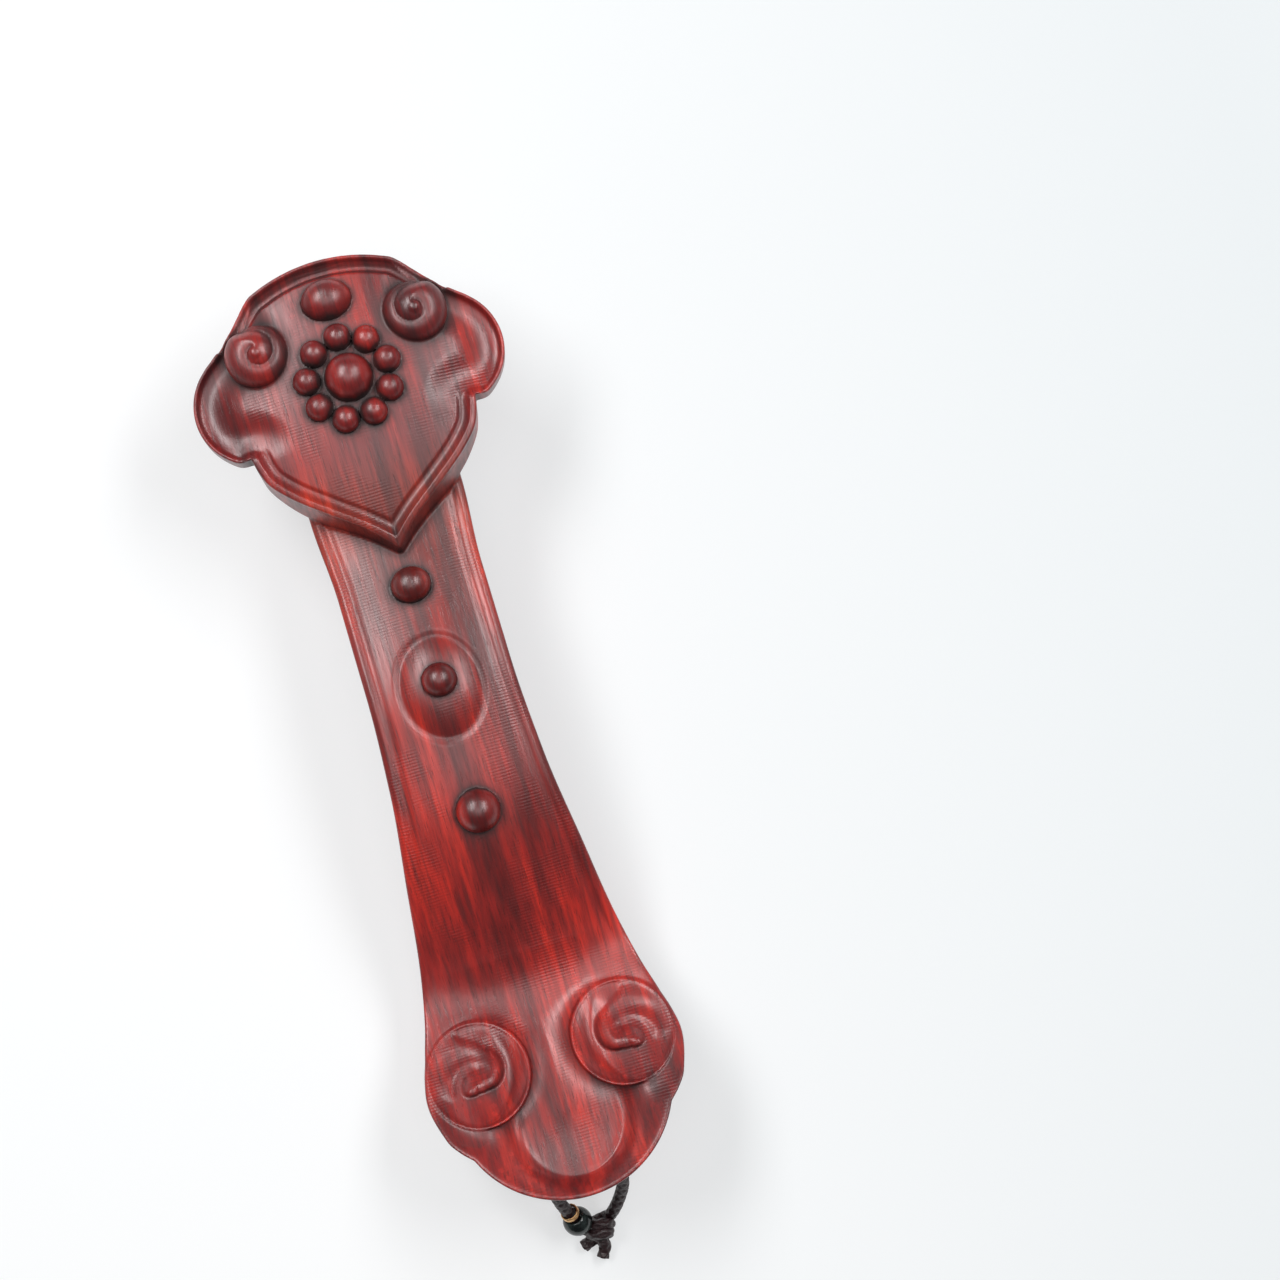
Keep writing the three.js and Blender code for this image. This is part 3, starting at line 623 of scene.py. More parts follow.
def plate_face(gx, gy, to_crown, to_lobe, to_apron):
    """Height of the head plate's top: its sunk face, its raised borders and its scooped lobes."""
    rim = RIM_HEIGHT * (1 - smooth_step(np.minimum(to_crown, to_lobe), *RIM_SLOPE))
    crown_channel = smooth_step(to_crown, *CROWN_CHANNEL_WALL)
    crown_channel = crown_channel * (1 - smooth_step(to_crown, *CROWN_CHANNEL_END))
    lobe_share = np.clip((to_lobe - LOBE_CHANNEL_START) / LOBE_CHANNEL_WIDTH, 0, 1)
    lobe_hollow = lobe_share * (1 - lobe_share) ** 2 / DEEPEST_HOLLOW
    lobe_channel = lobe_hollow * smooth_step(gy, *LOBE_CHANNEL_FADE)
    channel = np.maximum(CROWN_CHANNEL_DEPTH * crown_channel, LOBE_CHANNEL_DEPTH * lobe_channel)
    slope = np.clip((to_apron - RIDGE_TOP) / (RIDGE_FOOT - RIDGE_TOP), 0, 1)
    ridge = RIDGE_HEIGHT - (RIDGE_HEIGHT + RIDGE_FOOT_DEPTH) * np.sin(math.pi / 2 * slope)
    past_foot = -RIDGE_FOOT_DEPTH * (1 - smooth_step(to_apron, RIDGE_FOOT, RIDGE_FOOT_END))
    ridge = np.where(to_apron < RIDGE_FOOT, ridge, past_foot)
    below = 1 - smooth_step(gy, *RIDGE_FADE)
    raised = np.maximum(rim, ridge * below)
    raised = np.where(ridge < 0, rim + ridge * below, raised)
    return face_at(gx, gy) + raised - channel


def flat_share(height):
    """How much a step up from a sloping surface counts as distance from it."""
    dx, dy = np.gradient(height, PlanMap.STEP)
    return 1 / np.sqrt(1 + np.minimum(dx ** 2 + dy ** 2, STEEPEST ** 2))


GX, GY = PlanMap.grid()
CROWN_LINE, LOBE_LINE, APRON_LINE = crown_line(), lobe_line(), apron_line()
HANDLE_LINE = handle_outline()
TO_CROWN, TO_LOBE, TO_APRON = (distance_to_line(line) for line in (CROWN_LINE, LOBE_LINE, APRON_LINE))
PLATE_DISTANCE = np.minimum(np.minimum(TO_CROWN, TO_LOBE), TO_APRON)
PLATE_DISTANCE = np.where(inside_of(CROWN_LINE + LOBE_LINE[1:] + APRON_LINE[1:]), -1, 1) * PLATE_DISTANCE
HANDLE_DISTANCE = np.where(inside_of(HANDLE_LINE), -1, 1) * distance_to_line(HANDLE_LINE)
FRONT = handle_front(GX, GY, np.maximum(-HANDLE_DISTANCE, 0))
FACE = plate_face(GX, GY, TO_CROWN, TO_LOBE, TO_APRON)
SCROLL_TOP = edge_height(GY) + scroll_relief(GX, GY)
VOLUTE_CUT = spiral_cut(GX - VOLUTE[0], GY - VOLUTE[1], **VOLUTE_SPIRAL)
handle_distance = PlanMap(HANDLE_DISTANCE)
plate_distance = PlanMap(PLATE_DISTANCE)
front_map = PlanMap(FRONT)
front_share = PlanMap(flat_share(FRONT))
face_map = PlanMap(FACE)
face_share = PlanMap(flat_share(FACE))
scroll_map = PlanMap(SCROLL_TOP)
scroll_share = PlanMap(flat_share(SCROLL_TOP))
scroll_edge = PlanMap(np.hypot(GX - SCROLL[0], GY - SCROLL[1]) - SCROLL_RADIUS)
volute_cut = PlanMap(VOLUTE_CUT)


def front_at(y):
    return float(front_map(np.array([0.0]), np.array([y]))[0])


def ornament():
    """Centre and radii of every ball and oval boss."""
    pieces = [(0.0, FLOWER[1], FACE_HEIGHT + HEART_RISE, (HEART_RADIUS,) * 3)]
    for i in range(PETALS):
        angle = math.pi / 2 + i / PETALS * 2 * math.pi
        x = math.cos(angle) * PETAL_RING
        y = FLOWER[1] + math.sin(angle) * PETAL_RING
        pieces.append((x, y, face_at(x, y) + PETAL_RISE, (PETAL_RADIUS,) * 3))
    pieces.append((0.0, TOP_BOSS, face_at(0, TOP_BOSS), (*TOP_BOSS_HALF, TOP_BOSS_HEIGHT)))
    pieces.append((0.0, UPPER_BOSS, front_at(UPPER_BOSS) + BOSS_RISE, UPPER_BOSS_HALF))
    pieces.append((0.0, DOME_BALL, front_at(DOME_BALL) - DOME_BALL_SINK, DOME_BALL_HALF))
    pieces.append((0.0, LOWER_BOSS, front_at(LOWER_BOSS) + BOSS_RISE, LOWER_BOSS_HALF))
    for side in (-1, 1):
        apex = face_at(*VOLUTE) + VOLUTE_HEIGHT
        pieces.append((side * VOLUTE[0], VOLUTE[1], apex - EYE_SINK, EYE_HALF))
    return pieces


ORNAMENT = ornament()


def dome(x, y, z, piece):
    """About the distance to a ball or an oval dome."""
    cx, cy, cz, (rx, ry, rz) = piece
    share = np.sqrt(((x - cx) / rx) ** 2 + ((y - cy) / ry) ** 2 + ((z - cz) / rz) ** 2)
    return (share - 1) * min(rx, ry, rz)


def volute(x, y, z):
    """A snail-shell dome on each shoulder of the head plate."""
    u, v = np.abs(x) - VOLUTE[0], y - VOLUTE[1]
    up = z - face_at(*VOLUTE)
    share = np.sqrt((u * u + v * v) / VOLUTE_RADIUS ** 2 + (up / VOLUTE_HEIGHT) ** 2)
    return (share - 1) * VOLUTE_HEIGHT + VOLUTE_GROOVE * volute_cut(x, y)


def from_tail(points):
    """Points given by their distance from the tail's tip, in the frame's own axes."""
    return [(x, TIP + distance, z) for x, distance, z in points]


TUNNEL_LINE = catmull_rom(from_tail([*CORD_ROUTE[EXIT:], LEFT_STRAND[0]]), TUNNEL_SPAN_POINTS)


def tunnel(x, y, z):
    """Distance to the cord's tunnel through the tail end."""
    best = None
    for a, b in zip(TUNNEL_LINE[:-1], TUNNEL_LINE[1:]):
        e = b - a
        length = float(e @ e)
        t = np.clip(((x - a[0]) * e[0] + (y - a[1]) * e[1] + (z - a[2]) * e[2]) / length, 0, 1)
        d = (x - a[0] - t * e[0]) ** 2 + (y - a[1] - t * e[1]) ** 2 + (z - a[2] - t * e[2]) ** 2
        best = d if best is None else np.minimum(best, d)
    return np.sqrt(best) - TUNNEL_RADIUS


def block(x, y, z, cut_tunnel=True):
    """About the distance to the carved block's surface, negative inside it."""
    lateral = handle_distance(x, y)
    handle = smooth_max(lateral, (z - front_map(x, y)) * front_share(x, y), FRONT_EDGE)
    handle = smooth_max(handle, (back_height(y).astype(np.float32) - z) * BACK_SLOPE, BACK_EDGE)
    scroll = smooth_max(scroll_edge(x, y), (z - scroll_map(x, y)) * scroll_share(x, y), SCROLL_EDGE)
    scroll = np.maximum(scroll, SCROLL_BOTTOM - z)
    solid = smooth_min(handle, scroll, SCROLL_JOIN)
    flare = smooth_step(FLARE_START - y, 0, FLARE_FADE) * np.clip(FLARE_TOP - z, 0, FLARE_HEIGHT)
    wall = plate_distance(x, y) - WALL_FLARE / FLARE_HEIGHT * flare
    plate = smooth_max(wall, (z - face_map(x, y)) * face_share(x, y), FACE_EDGE)
    plate = smooth_max(plate, PLATE_BACK - z, PLATE_BACK_EDGE)
    foot = cove_foot(y).astype(np.float32)
    share = np.clip((z - foot) / (PLATE_BACK + COVE_TOP - foot), 0, 1)
    reach = COVE_REACH * (1 - np.sqrt(1 - share ** 2))
    cove = np.maximum(lateral - reach, plate_distance(x, y) + COVE_INSET)
    cove = np.maximum(cove, np.maximum(z - PLATE_BACK - COVE_OVERLAP, foot - z))
    solid = smooth_min(smooth_min(solid, cove, COVE_JOIN), plate, PLATE_JOIN)
    solid = smooth_min(solid, volute(x, y, z), VOLUTE_JOIN)
    for piece in ORNAMENT:
        solid = smooth_min(solid, dome(x, y, z, piece), BALL_JOIN)
    if cut_tunnel:
        solid = smooth_max(solid, -tunnel(x, y, z), TUNNEL_MOUTH)
    return solid


CORNERS = [(a, b, c) for a in (0, 1) for b in (0, 1) for c in (0, 1)]


def surface_net(values, xs, ys, zs):
    """Quads on the zero surface of a grid of values, one point in each cell that it crosses."""
    inside = values < 0
    shape = tuple(n - 1 for n in values.shape)
    count = np.zeros(shape, dtype=np.int8)
    for a, b, c in CORNERS:
        count += inside[a:a + shape[0], b:b + shape[1], c:c + shape[2]]
    cells = np.argwhere((count > 0) & (count < 8))
    index = np.full(shape, -1, dtype=np.int32)
    index[tuple(cells.T)] = np.arange(len(cells))
    corner = {k: values[cells[:, 0] + k[0], cells[:, 1] + k[1], cells[:, 2] + k[2]] for k in CORNERS}
    total = np.zeros((len(cells), 3))
    hits = np.zeros(len(cells))
    for k in CORNERS:
        for axis in range(3):
            if k[axis]:
                continue
            other = tuple(1 if i == axis else k[i] for i in range(3))
            f0, f1 = corner[k], corner[other]
            crossed = (f0 < 0) != (f1 < 0)
            t = np.where(crossed, f0 / np.where(crossed, f0 - f1, 1), 0)
            point = np.tile(np.array(k, dtype=float), (len(cells), 1))
            point[:, axis] = t
            total += point * crossed[:, None]
            hits += crossed
    step = np.array([xs[1] - xs[0], ys[1] - ys[0], zs[1] - zs[0]])
    points = np.array([xs[0], ys[0], zs[0]]) + (cells + total / hits[:, None]) * step
    quads = []
    for axis in range(3):
        first, second = [i for i in range(3) if i != axis]
        ahead = [slice(None)] * 3
        ahead[axis] = slice(1, None)
        behind = [slice(None)] * 3
        behind[axis] = slice(None, -1)
        edges = np.argwhere(inside[tuple(behind)] != inside[tuple(ahead)])
        starts = inside[tuple(edges.T)]
        ring = []
        for d1, d2 in ((0, 0), (1, 0), (1, 1), (0, 1)):
            cell = edges.copy()
            cell[:, first] -= d1
            cell[:, second] -= d2
            ring.append(index[tuple(cell.T)])
        ring = np.stack(ring, axis=1)
        forward = starts if axis != 1 else ~starts
        quads.append(np.where(forward[:, None], ring, ring[:, ::-1]))
    return points, np.concatenate(quads)


def columns(points):
    return [points[:, i].copy() for i in range(3)]


def slope_of(points, nudge):
    """The slope of the block's distance at each point, which is its normal on the surface."""
    x, y, z = columns(points)
    return np.stack([
        block(x + nudge, y, z) - block(x - nudge, y, z),
        block(x, y + nudge, z) - block(x, y - nudge, z),
        block(x, y, z + nudge) - block(x, y, z - nudge),
    ], axis=1) / (2 * nudge)


def settle(points):
    """Moves each point along the surface's own slope onto the surface, by a step of the grid at most."""
    here = block(*columns(points))
    slope = slope_of(points, SETTLE_NUDGE)
    size = np.maximum((slope ** 2).sum(axis=1), 0.25)
    move = -slope * (here / size)[:, None]
    length = np.linalg.norm(move, axis=1, keepdims=True)
    return points + move * np.minimum(1, GRID_STEP / np.maximum(length, 1e-9))


def painted_shade_closure(points, slope):
    """How far each point is closed in by the block around it: 0 is open, 1 is closed. The material paints
    shade by it, darker where closed in.
    """
    closed = np.zeros(len(points))
    for reach in PAINTED_SHADE_REACHES:
        gap = block(*columns(points + slope * reach))
        closed += np.clip(1 - gap / reach, 0, 1)
    return closed / len(PAINTED_SHADE_REACHES)


def clear_of_ornament(points):
    """About the distance from each point to the nearest ball, boss or volute."""
    x, y, z = columns(points)
    nearest = volute(x, y, z)
    for piece in ORNAMENT:
        nearest = np.minimum(nearest, dome(x, y, z, piece))
    return nearest


def even_out(points, quads):
    """Draws each point towards the middle of its neighbours, so that the quads get more alike."""
    ends = np.concatenate([quads[:, [i, (i + 1) % 4]] for i in range(4)])
    start, end = ends[:, 0], ends[:, 1]
    total = len(points)
    count = np.maximum(np.bincount(start, minlength=total), 1)
    sums = [np.bincount(start, weights=points[end, i], minlength=total) / count for i in range(3)]
    return points + EVEN_SHARE * (np.stack(sums, axis=1) - points)


def linked(name, data):
    made = bpy.data.objects.new(name, data)
    bpy.context.scene.collection.objects.link(made)
    return made


def mesh_object(name, points, faces, material):
    mesh = bpy.data.meshes.new(name)
    mesh.from_pydata((np.asarray(points) * MM).tolist(), [], [[int(i) for i in face] for face in faces])
    mesh.validate()
    mesh.update()
    mesh.materials.append(material)
    mesh.shade_smooth()
    return linked(name, mesh)


def fill(made, inputs):
    for key, value in inputs.items():
        made.inputs[key].default_value = value


def node(tree, kind, **inputs):
    made = tree.nodes.new(kind)
    fill(made, inputs)
    return made


def link_noise(tree, place, detail, stretch):
    """A noise whose grain is stretched, in millimetres of the object's own frame."""
    mapping = node(tree, "ShaderNodeMapping", Scale=tuple(1 / MM / s for s in stretch))
    tree.links.new(place.outputs["Object"], mapping.inputs["Vector"])
    noise = node(tree, "ShaderNodeTexNoise", Scale=1.0, Detail=detail, Roughness=0.6)
    tree.links.new(mapping.outputs["Vector"], noise.inputs["Vector"])
    return noise.outputs["Fac"]


def ramp(tree, source, stops):
    """The colour that a value takes between the given (position, colour) stops."""
    made = tree.nodes.new("ShaderNodeValToRGB")
    elements = made.color_ramp.elements
    while len(elements) < len(stops):
        elements.new(0.5)
    for element, (position, colour) in zip(elements, stops):
        element.position = position
        element.color = (*colour, 1)
    tree.links.new(source, made.inputs["Fac"])
    return made.outputs["Color"]


def maths(tree, operation, a, b):
    made = tree.nodes.new("ShaderNodeMath")
    made.operation = operation
    for value, socket in zip((a, b), made.inputs):
        if isinstance(value, (int, float)):
            socket.default_value = value
        else:
            tree.links.new(value, socket)
    return made.outputs[0]


def mix_colour(tree, blend, share, a, b):
    made = tree.nodes.new("ShaderNodeMix")
    made.data_type = "RGBA"
    made.blend_type = blend
    for value, socket in ((share, made.inputs[0]), (a, made.inputs[6]), (b, made.inputs[7])):
        if isinstance(value, bpy.types.NodeSocket):
            tree.links.new(value, socket)
        else:
            socket.default_value = value
    return made.outputs[2]


def add_bump(tree, shader, height, strength, distance):
    bump = node(tree, "ShaderNodeBump", Strength=strength, Distance=distance)
    tree.links.new(height, bump.inputs["Height"])
    tree.links.new(bump.outputs["Normal"], shader.inputs["Normal"])


def parts_of(material):
    """The material's node tree, its shader and a source of places in the object's own frame."""
    tree = material.node_tree
    return tree, tree.nodes["Principled BSDF"], tree.nodes.new("ShaderNodeTexCoord")


def wood_material():
    """Waxed red rosewood: broad red and dark bands, fine fibres, dark pores and cutter marks, with painted
    shade in hollows, on the balls and on steep sides, and painted light tints along its length.
    """
    material = bpy.data.materials.new("rosewood")
    material.use_nodes = True
    tree, shader, place = parts_of(material)
    fill(shader, WAX)
    signs = tree.nodes.new("ShaderNodeVertexColor")
    signs.layer_name = SHADE_AND_WORK_SIGNS
    split = tree.nodes.new("ShaderNodeSeparateColor")
    tree.links.new(signs.outputs["Color"], split.inputs["Color"])
    bands = link_noise(tree, place, 3.0, BAND_GRAIN)
    tint = ramp(tree, bands, [
        (0.36, (0.1, 0.0065, 0.0065)),
        (0.5, (0.24, 0.0135, 0.011)),
        (0.64, (0.47, 0.024, 0.013)),
    ])
    fibres = link_noise(tree, place, 4.0, FIBRE_GRAIN)
    fibre_tint = ramp(tree, fibres, [(0.34, (0.5, 0.4, 0.45)), (0.62, (1.2, 1.1, 1.1))])
    colour = mix_colour(tree, "MULTIPLY", 0.8, tint, fibre_tint)
    pores = link_noise(tree, place, 2.0, PORE_GRAIN)
    pore_mask = ramp(tree, pores, [(0.60, (0, 0, 0)), (0.68, (1, 1, 1))])
    pore_share = maths(tree, "MULTIPLY", pore_mask, 0.5)
    colour = mix_colour(tree, "MIX", pore_share, colour, PORE_COLOUR)
    geometry = tree.nodes.new("ShaderNodeNewGeometry")
    # Partly painted shade, partly wear: hollows are drawn darker as shade, sharp edges lighter as edge wear.
    hollow_shade_and_edge_wear = ramp(tree, geometry.outputs["Pointiness"], [
        (0.42, (0.5, 0.45, 0.45)), (0.495, (1, 1, 1)), (0.57, (1.4, 1.5, 1.5)),
    ])
    colour = mix_colour(tree, "MULTIPLY", 0.8, colour, hollow_shade_and_edge_wear)
    # Painted shade: the colour gets darker where the block closes in round a point, in hollows, creases and
    # between the balls.
    closed = ramp(tree, split.outputs["Red"], [
        (0.12, (1, 1, 1)), (0.38, (0.6, 0.42, 0.42)), (0.65, (0.2, 0.12, 0.12)),
    ])
    colour = mix_colour(tree, "MULTIPLY", 1.0, colour, closed)
    # Painted shade: the balls, bosses, volutes, the ground just round them and the steep sides are drawn
    # darker than the up-facing surfaces.
    painted_ornament_shade = ramp(tree, split.outputs["Green"], [(0.0, (0.8, 0.68, 0.7)), (0.8, (1, 1, 1))])
    colour = mix_colour(tree, "MULTIPLY", 1.0, colour, painted_ornament_shade)
    along = tree.nodes.new("ShaderNodeSeparateXYZ")
    tree.links.new(place.outputs["Object"], along.inputs["Vector"])
    # Painted light: tints along the length for the shaded neck's orange and the head's purplish sheen.
    share = maths(tree, "ADD", maths(tree, "MULTIPLY", along.outputs["Y"], 1 / LENGTH_METRES), 0.5)
    painted_light_tint = ramp(tree, share, PAINTED_LIGHT_TINTS)
    colour = mix_colour(tree, "MULTIPLY", 1.0, colour, painted_light_tint)
    cutter = node(tree, "ShaderNodeTexWave", **CUTTER)
    cutter.bands_direction = "Y"
    millimetres = node(tree, "ShaderNodeMapping", Scale=(1 / MM,) * 3)
    tree.links.new(place.outputs["Object"], millimetres.inputs["Vector"])
    tree.links.new(millimetres.outputs["Vector"], cutter.inputs["Vector"])
    patches = link_noise(tree, place, 2.0, PATCH_GRAIN)
    patch_mask = ramp(tree, patches, [(0.46, (0.05, 0.05, 0.05)), (0.62, (1, 1, 1))])
    worked = maths(tree, "MULTIPLY", patch_mask, split.outputs["Green"])
    cut = maths(tree, "MULTIPLY", cutter.outputs["Fac"], worked)
    cut_share = maths(tree, "MULTIPLY", cut, 0.3)
    colour = mix_colour(tree, "MIX", cut_share, colour, CUT_COLOUR)
    tree.links.new(colour, shader.inputs["Base Color"])
    relief = maths(tree, "ADD", maths(tree, "MULTIPLY", cut, 0.6), fibres)
    relief = maths(tree, "SUBTRACT", relief, maths(tree, "MULTIPLY", pore_mask, 0.4))
    add_bump(tree, shader, relief, 0.55, WOOD_RELIEF)
    gloss = ramp(tree, fibres, [(0.3, (0.44, 0.44, 0.44)), (0.7, (0.32, 0.32, 0.32))])
    dull = maths(tree, "ADD", gloss, maths(tree, "MULTIPLY", split.outputs["Red"], 0.45))
    tree.links.new(dull, shader.inputs["Roughness"])
    return material


def cord_material():
    """Dark brown-black waxed braid with a faint fibre."""
    material = plain_material("braid_thread", (0.014, 0.009, 0.01), 0.42)
    tree, shader, place = parts_of(material)
    fluff = link_noise(tree, place, 4.0, FLUFF_GRAIN)
    tint = ramp(tree, fluff, [(0.35, (0.006, 0.003, 0.0035)), (0.68, (0.045, 0.018, 0.02))])
    tree.links.new(tint, shader.inputs["Base Color"])
    add_bump(tree, shader, fluff, 0.6, CORD_RELIEF)
    return material


def bead_material():
    """Polished green-black stone with faint clouds."""
    material = plain_material("black_stone", (0.01, 0.013, 0.013), 0.14)
    tree, shader, place = parts_of(material)
    clouds = link_noise(tree, place, 3.0, CLOUD_GRAIN)
    tint = ramp(tree, clouds, [(0.4, (0.006, 0.008, 0.008)), (0.72, (0.03, 0.042, 0.04))])
    tree.links.new(tint, shader.inputs["Base Color"])
    return material


def spacer_material():
    """Worn gold-copper metal, mottled in colour and gloss."""
    material = plain_material("gold_copper", (0.75, 0.45, 0.2), 0.3, 1.0)
    tree, shader, place = parts_of(material)
    wear = link_noise(tree, place, 4.0, WEAR_GRAIN)
    tint = ramp(tree, wear, [(0.35, (0.42, 0.2, 0.08)), (0.65, (0.85, 0.55, 0.27))])
    tree.links.new(tint, shader.inputs["Base Color"])
    gloss = ramp(tree, wear, [(0.3, (0.45, 0.45, 0.45)), (0.7, (0.24, 0.24, 0.24))])
    tree.links.new(gloss, shader.inputs["Roughness"])
    return material


def plain_material(name, colour, roughness, metallic=0.0):
    material = bpy.data.materials.new(name)
    material.use_nodes = True
    settings = {"Base Color": (*colour, 1), "Roughness": roughness, "Metallic": metallic}
    fill(material.node_tree.nodes["Principled BSDF"], settings)
    return material


def aimed(place, aim):
    """A world matrix that looks from a place to an aim, in metres, with the photograph's up."""
    place = Vector(place)
    forward = (Vector(aim) - place).normalized()
    up = Vector((math.sin(ROLL), math.cos(ROLL), 0))
    right = forward.cross(up).normalized()
    upward = right.cross(forward)
    turn = Matrix((right, upward, -forward)).transposed().to_4x4()
    return Matrix.Translation(place) @ turn


def add_camera():
    camera = linked("camera", bpy.data.cameras.new("camera"))
    camera.data.sensor_width = SENSOR_MM
    camera.data.lens = CAMERA_FOCAL_PIXELS / PHOTO_PIXELS * SENSOR_MM
    camera.data.clip_start, camera.data.clip_end = CLIP_METRES
    camera.matrix_world = aimed(Vector(CAMERA_PLACE) * MM, Vector(CAMERA_AIM) * MM)
    bpy.context.scene.camera = camera


def add_stage():
    """A pale floor with painted shade: nearly white to the left and a little bluer and greyer to the right.
    """
    material = plain_material("floor_paper", (0.9, 0.92, 0.93), 0.9)
    tree, shader, place = parts_of(material)
    across = tree.nodes.new("ShaderNodeSeparateXYZ")
    tree.links.new(place.outputs["Object"], across.inputs["Vector"])
    share = maths(tree, "ADD", across.outputs["X"], FLOOR_SHADE_START)
    share = maths(tree, "MULTIPLY", share, FLOOR_SHADE_RATE)
    tint = ramp(tree, share, [(0.0, FLOOR_LEFT), (1.0, FLOOR_SHADED_RIGHT)])
    tree.links.new(tint, shader.inputs["Base Color"])
    glow = tree.nodes.new("ShaderNodeEmission")
    tree.links.new(tint, glow.inputs["Color"])
    ray = tree.nodes.new("ShaderNodeLightPath")
    seen = maths(tree, "MAXIMUM", ray.outputs["Is Camera Ray"], ray.outputs["Is Glossy Ray"])
    seen = maths(tree, "MAXIMUM", seen, ray.outputs["Is Transmission Ray"])
    blend = tree.nodes.new("ShaderNodeMixShader")
    tree.links.new(maths(tree, "MULTIPLY", seen, FLOOR_GLOW), blend.inputs["Fac"])
    tree.links.new(shader.outputs["BSDF"], blend.inputs[1])
    tree.links.new(glow.outputs["Emission"], blend.inputs[2])
    tree.links.new(blend.outputs["Shader"], tree.nodes["Material Output"].inputs["Surface"])
    mesh = bpy.data.meshes.new("floor")
    corners = [(x * FLOOR_HALF, y * FLOOR_HALF, 0) for x, y in ((-1, -1), (1, -1), (1, 1), (-1, 1))]
    mesh.from_pydata(corners, [], [(0, 1, 2, 3)])
    mesh.materials.append(material)
    made = linked("floor", mesh)
    made.location.z = -FLOOR_DROP


def area_light(name, across, upwards, height, size, power):
    """A softbox placed across and upwards in the photograph's own directions, in metres."""
    light = bpy.data.lights.new(name, "AREA")
    light.shape = "RECTANGLE"
    light.size, light.size_y = size
    light.energy = power
    made = linked(name, light)
    right = Vector((math.cos(ROLL), -math.sin(ROLL), 0))
    up = Vector((math.sin(ROLL), math.cos(ROLL), 0))
    made.matrix_world = aimed(right * across + up * upwards + Vector((0, 0, height)), LIGHT_AIM)


def add_lights():
    world = bpy.data.worlds.new("world")
    bpy.context.scene.world = world
    world.use_nodes = True
    fill(world.node_tree.nodes["Background"], DAYLIGHT)
    for name, settings in SOFTBOXES.items():
        area_light(name, *settings)


def distance_along(points):
    return np.concatenate([[0], np.cumsum(np.linalg.norm(np.diff(points, axis=0), axis=1))])


def tube(points, radius_at, sides):
    """A closed tube mesh along points. radius_at gives the radius at (distance along, angle)."""
    points = np.asarray(points, dtype=float)
    tangents = np.gradient(points, axis=0)
    tangents /= np.linalg.norm(tangents, axis=1, keepdims=True)
    along = distance_along(points)
    normal = np.cross(tangents[0], [0, 0, 1.0])
    normal /= np.linalg.norm(normal)
    rings = []
    angles = np.arange(sides) / sides * 2 * math.pi
    for p, t, s in zip(points, tangents, along):
        normal = normal - t * (normal @ t)
        normal /= np.linalg.norm(normal)
        side = np.cross(t, normal)
        radii = radius_at(s, angles)
        rings.append(p + radii[:, None] * (np.cos(angles)[:, None] * normal + np.sin(angles)[:, None] * side))
    count = len(points)
    vertices = np.concatenate(rings + [points[:1], points[-1:]])
    faces = []
    for r in range(count - 1):
        for i in range(sides):
            j = (i + 1) % sides
            faces.append((r * sides + i, r * sides + j, (r + 1) * sides + j, (r + 1) * sides + i))
    for i in range(sides):
        j = (i + 1) % sides
        faces.append((count * sides, j, i))
        faces.append((count * sides + 1, (count - 1) * sides + i, (count - 1) * sides + j))
    return vertices, faces


def even_steps(points, step):
    """The same line with points a fixed step apart."""
    points = np.asarray(points)
    along = distance_along(points)
    places = np.linspace(0, along[-1], max(2, int(round(along[-1] / step)) + 1))
    return np.stack([np.interp(places, along, points[:, i]) for i in range(3)], axis=1)


def cord_route():
    """Long tail, core of the knot, left strand, tunnel, right strand, turns of the knot, short tail."""
    top, foot = np.array(KNOT_TOP), np.array(KNOT_FOOT)
    turns = []
    for share in np.linspace(0, 1, TURN_POINTS):
        angle = math.pi * (KNOT_ANGLES[0] + (KNOT_ANGLES[1] - KNOT_ANGLES[0]) * share)
        around = np.array([math.cos(angle), 0, math.sin(angle)]) * KNOT_RADIUS
        turns.append(tuple(top + (foot - top) * share + around))
    core = [LEFT_STRAND[1], *KNOT_CORE]
    loop = [LEFT_STRAND[0], *CORD_ROUTE[:0:-1]]
    return from_tail([*LONG_TAIL[::-1], *core[::-1], *loop, *turns, *SHORT_TAIL])


def braid_radius(along, angles):
    """Two sets of strands wind round the cord against each other and pass over in turn."""
    turn = along * BRAID_TURN
    one = np.abs(np.cos(2 * angles + turn))
    other = np.abs(np.cos(2 * angles - turn))
    return CORD_DIAMETER / 2 * (BRAID_CORE + BRAID_SWELL * np.maximum(one, other) ** BRAID_POWER)


def add_cord(with_pieces):
    line = even_steps(catmull_rom(cord_route(), CORD_SPAN_POINTS), CORD_STEP)
    vertices, faces = tube(line, braid_radius, CORD_SIDES)
    cord = mesh_object("hanging_cord", vertices, faces, cord_material())
    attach(cord, "root")
    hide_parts("cord_loop", "cord_knot", "cord_tail_long", "cord_tail_short")


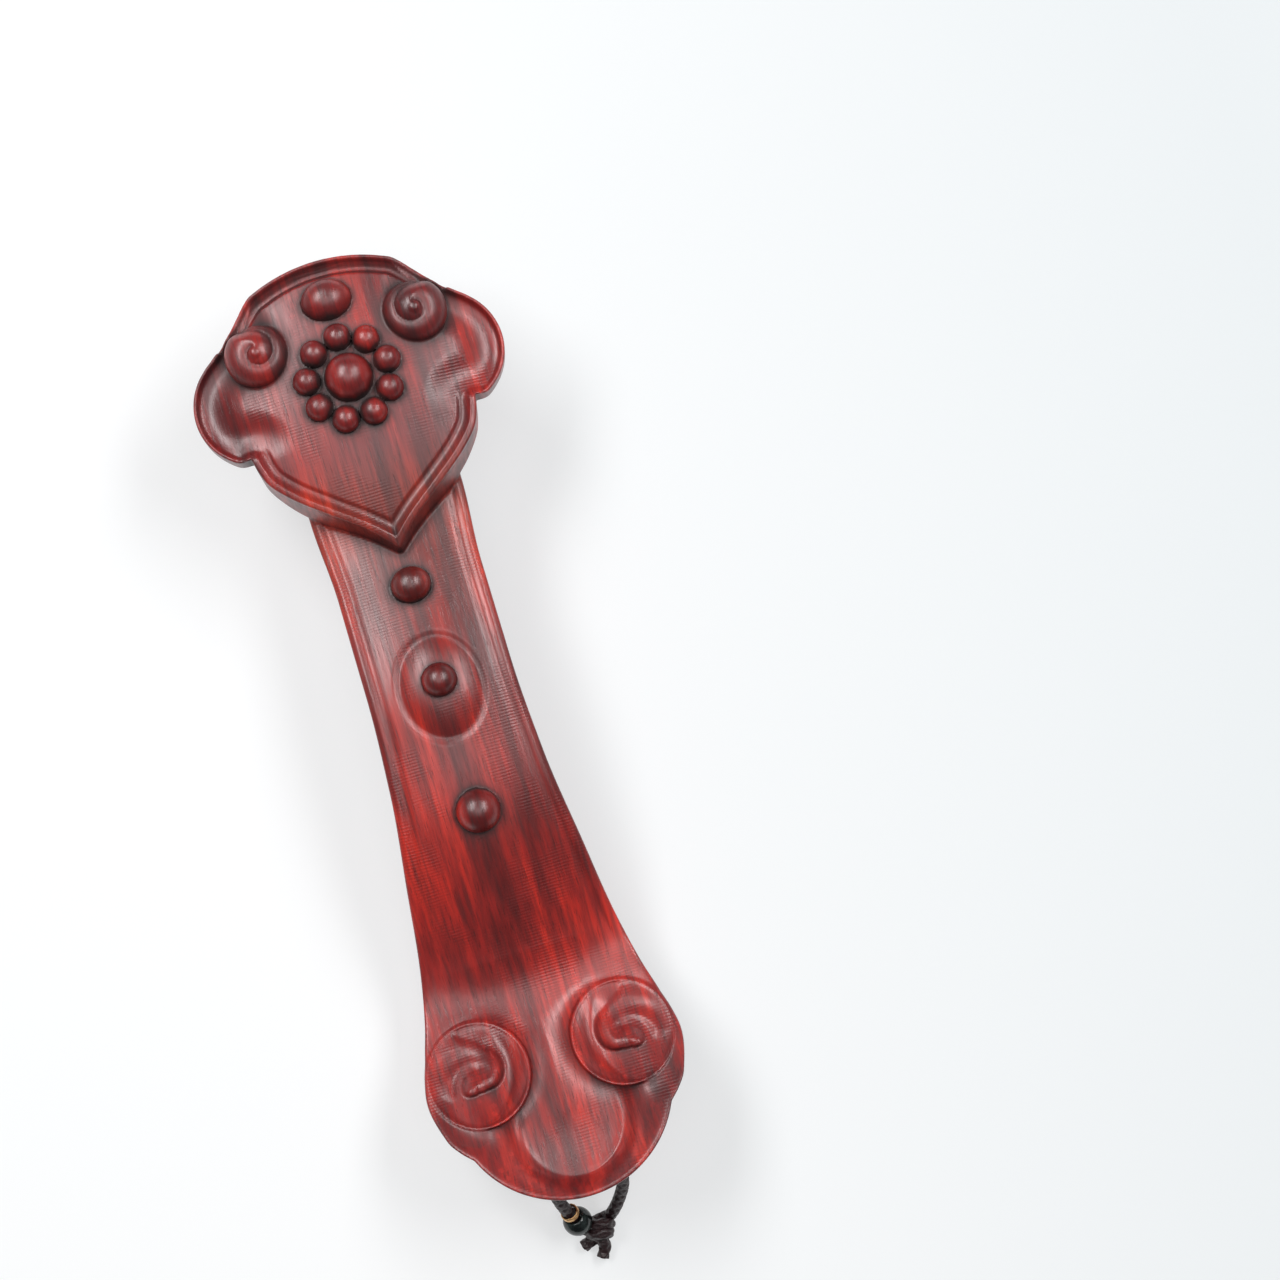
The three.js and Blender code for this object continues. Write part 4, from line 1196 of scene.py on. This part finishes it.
def turned(name, profile, centre, material, body, slot, node_name):
    """A closed profile of (along, radius) points, turned about the straight strand."""
    start, end = (np.array(p) for p in from_tail(LEFT_STRAND))
    axis = (end - start) / np.linalg.norm(end - start)
    side = np.cross(axis, [0, 0, 1.0])
    side /= np.linalg.norm(side)
    other = np.cross(axis, side)
    middle = end - axis * centre
    count = len(profile)
    vertices = []
    for i in range(TURNED_SIDES):
        angle = i / TURNED_SIDES * 2 * math.pi
        out = math.cos(angle) * side + math.sin(angle) * other
        vertices.extend(middle + axis * along + out * radius for along, radius in profile)
    faces = []
    for i in range(TURNED_SIDES):
        for j in range(count):
            here, beyond = i * count, (i + 1) % TURNED_SIDES * count
            after = (j + 1) % count
            faces.append((here + j, here + after, beyond + after, beyond + j))
    made = mesh_object(name, vertices, faces, material)
    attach(made, body)
    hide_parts(node_name)
    return made


def bore_mouths(half, depth, ease):
    """The end of a turned profile: the bore with an eased mouth at each end."""
    mouth = [(half - ease, BORE_RADIUS + ease), (half - depth, BORE_RADIUS)]
    return mouth + [(-along, radius) for along, radius in mouth[::-1]]


def add_bead():
    """A round bead with eased bore mouths."""
    mouth = BORE_RADIUS + MOUTH_WIDTH
    half = math.sqrt(BEAD_RADIUS ** 2 - mouth ** 2)
    last = math.asin(half / BEAD_RADIUS)
    angles = np.linspace(-last, last, BEAD_POINTS)
    profile = [(BEAD_RADIUS * math.sin(a), BEAD_RADIUS * math.cos(a)) for a in angles]
    profile += bore_mouths(half, MOUTH_DEPTH, MOUTH_EASE)
    return turned(
        "stone_bead", profile, BEAD_FROM_END, bead_material(), "bead_set", "bead_black", "black_bead"
    )


def add_spacer():
    """A thin metal ring, round-edged, with a waist line thinned by wear."""
    half = SPACER_LENGTH / 2
    profile = []
    for share in np.linspace(-1, 1, SPACER_POINTS):
        waist = SPACER_WAIST * math.exp(-(share / WAIST_WIDTH) ** 2)
        bulge = SPACER_ROUND * (1 - share ** 4) - waist
        profile.append((half * share, SPACER_RADIUS - SPACER_ROUND + bulge))
    profile += bore_mouths(half, SPACER_MOUTH_DEPTH, SPACER_MOUTH_EASE)
    centre = BEAD_FROM_END + BEAD_RADIUS + BEAD_TO_SPACER + half
    return turned(
        "metal_spacer", profile, centre, spacer_material(), "bead_set", "spacer_gold", "gold_spacer"
    )


def carve(material):
    """The carved block, with the painted shade of its closed-in places and its worked places kept as signs
    for the material; the material paints shade where a place is not worked.
    """
    xs, ys, zs = (np.arange(low, high + GRID_STEP / 2, GRID_STEP) for low, high in GRID_SPANS)
    values = np.empty((len(xs), len(ys), len(zs)), dtype=np.float32)
    for start in range(0, len(ys), GRID_SLAB):
        part = ys[start:start + GRID_SLAB]
        values[:, start:start + GRID_SLAB] = block(
            xs[:, None, None], part[None, :, None], zs[None, None, :], cut_tunnel=part[0] < TUNNEL_ENDS
        )
    points, quads = surface_net(values, xs, ys, zs)
    points = settle(points)
    for _ in range(EVEN_ROUNDS):
        points = settle(even_out(points, quads))
    points = settle(points)
    carved = mesh_object("carved_block", points, quads, material)
    slope = slope_of(points, NORMAL_NUDGE)
    slope /= np.maximum(np.linalg.norm(slope, axis=1, keepdims=True), 1e-9)
    carved.data.normals_split_custom_set_from_vertices(slope.tolist())
    signs = np.ones((len(points), 4), dtype=np.float32)
    # Red measures the painted shade; green marks up-facing places clear of the balls, where the cutter marks
    # show and where no shade is painted.
    signs[:, 0] = painted_shade_closure(points, slope)
    signs[:, 1] = smooth_step(slope[:, 2], *WORKED_RISE) * smooth_step(clear_of_ornament(points), *WORKED_GAP)
    colours = carved.data.color_attributes.new(SHADE_AND_WORK_SIGNS, "FLOAT_COLOR", "POINT")
    colours.data.foreach_set("color", signs.ravel())
    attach(carved, "root")
    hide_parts("carved_sceptre")


add_camera()
add_stage()
add_lights()
add_cord([add_bead(), add_spacer()])
carve(wood_material())

scene = bpy.context.scene
scene.view_settings.view_transform = "Standard"
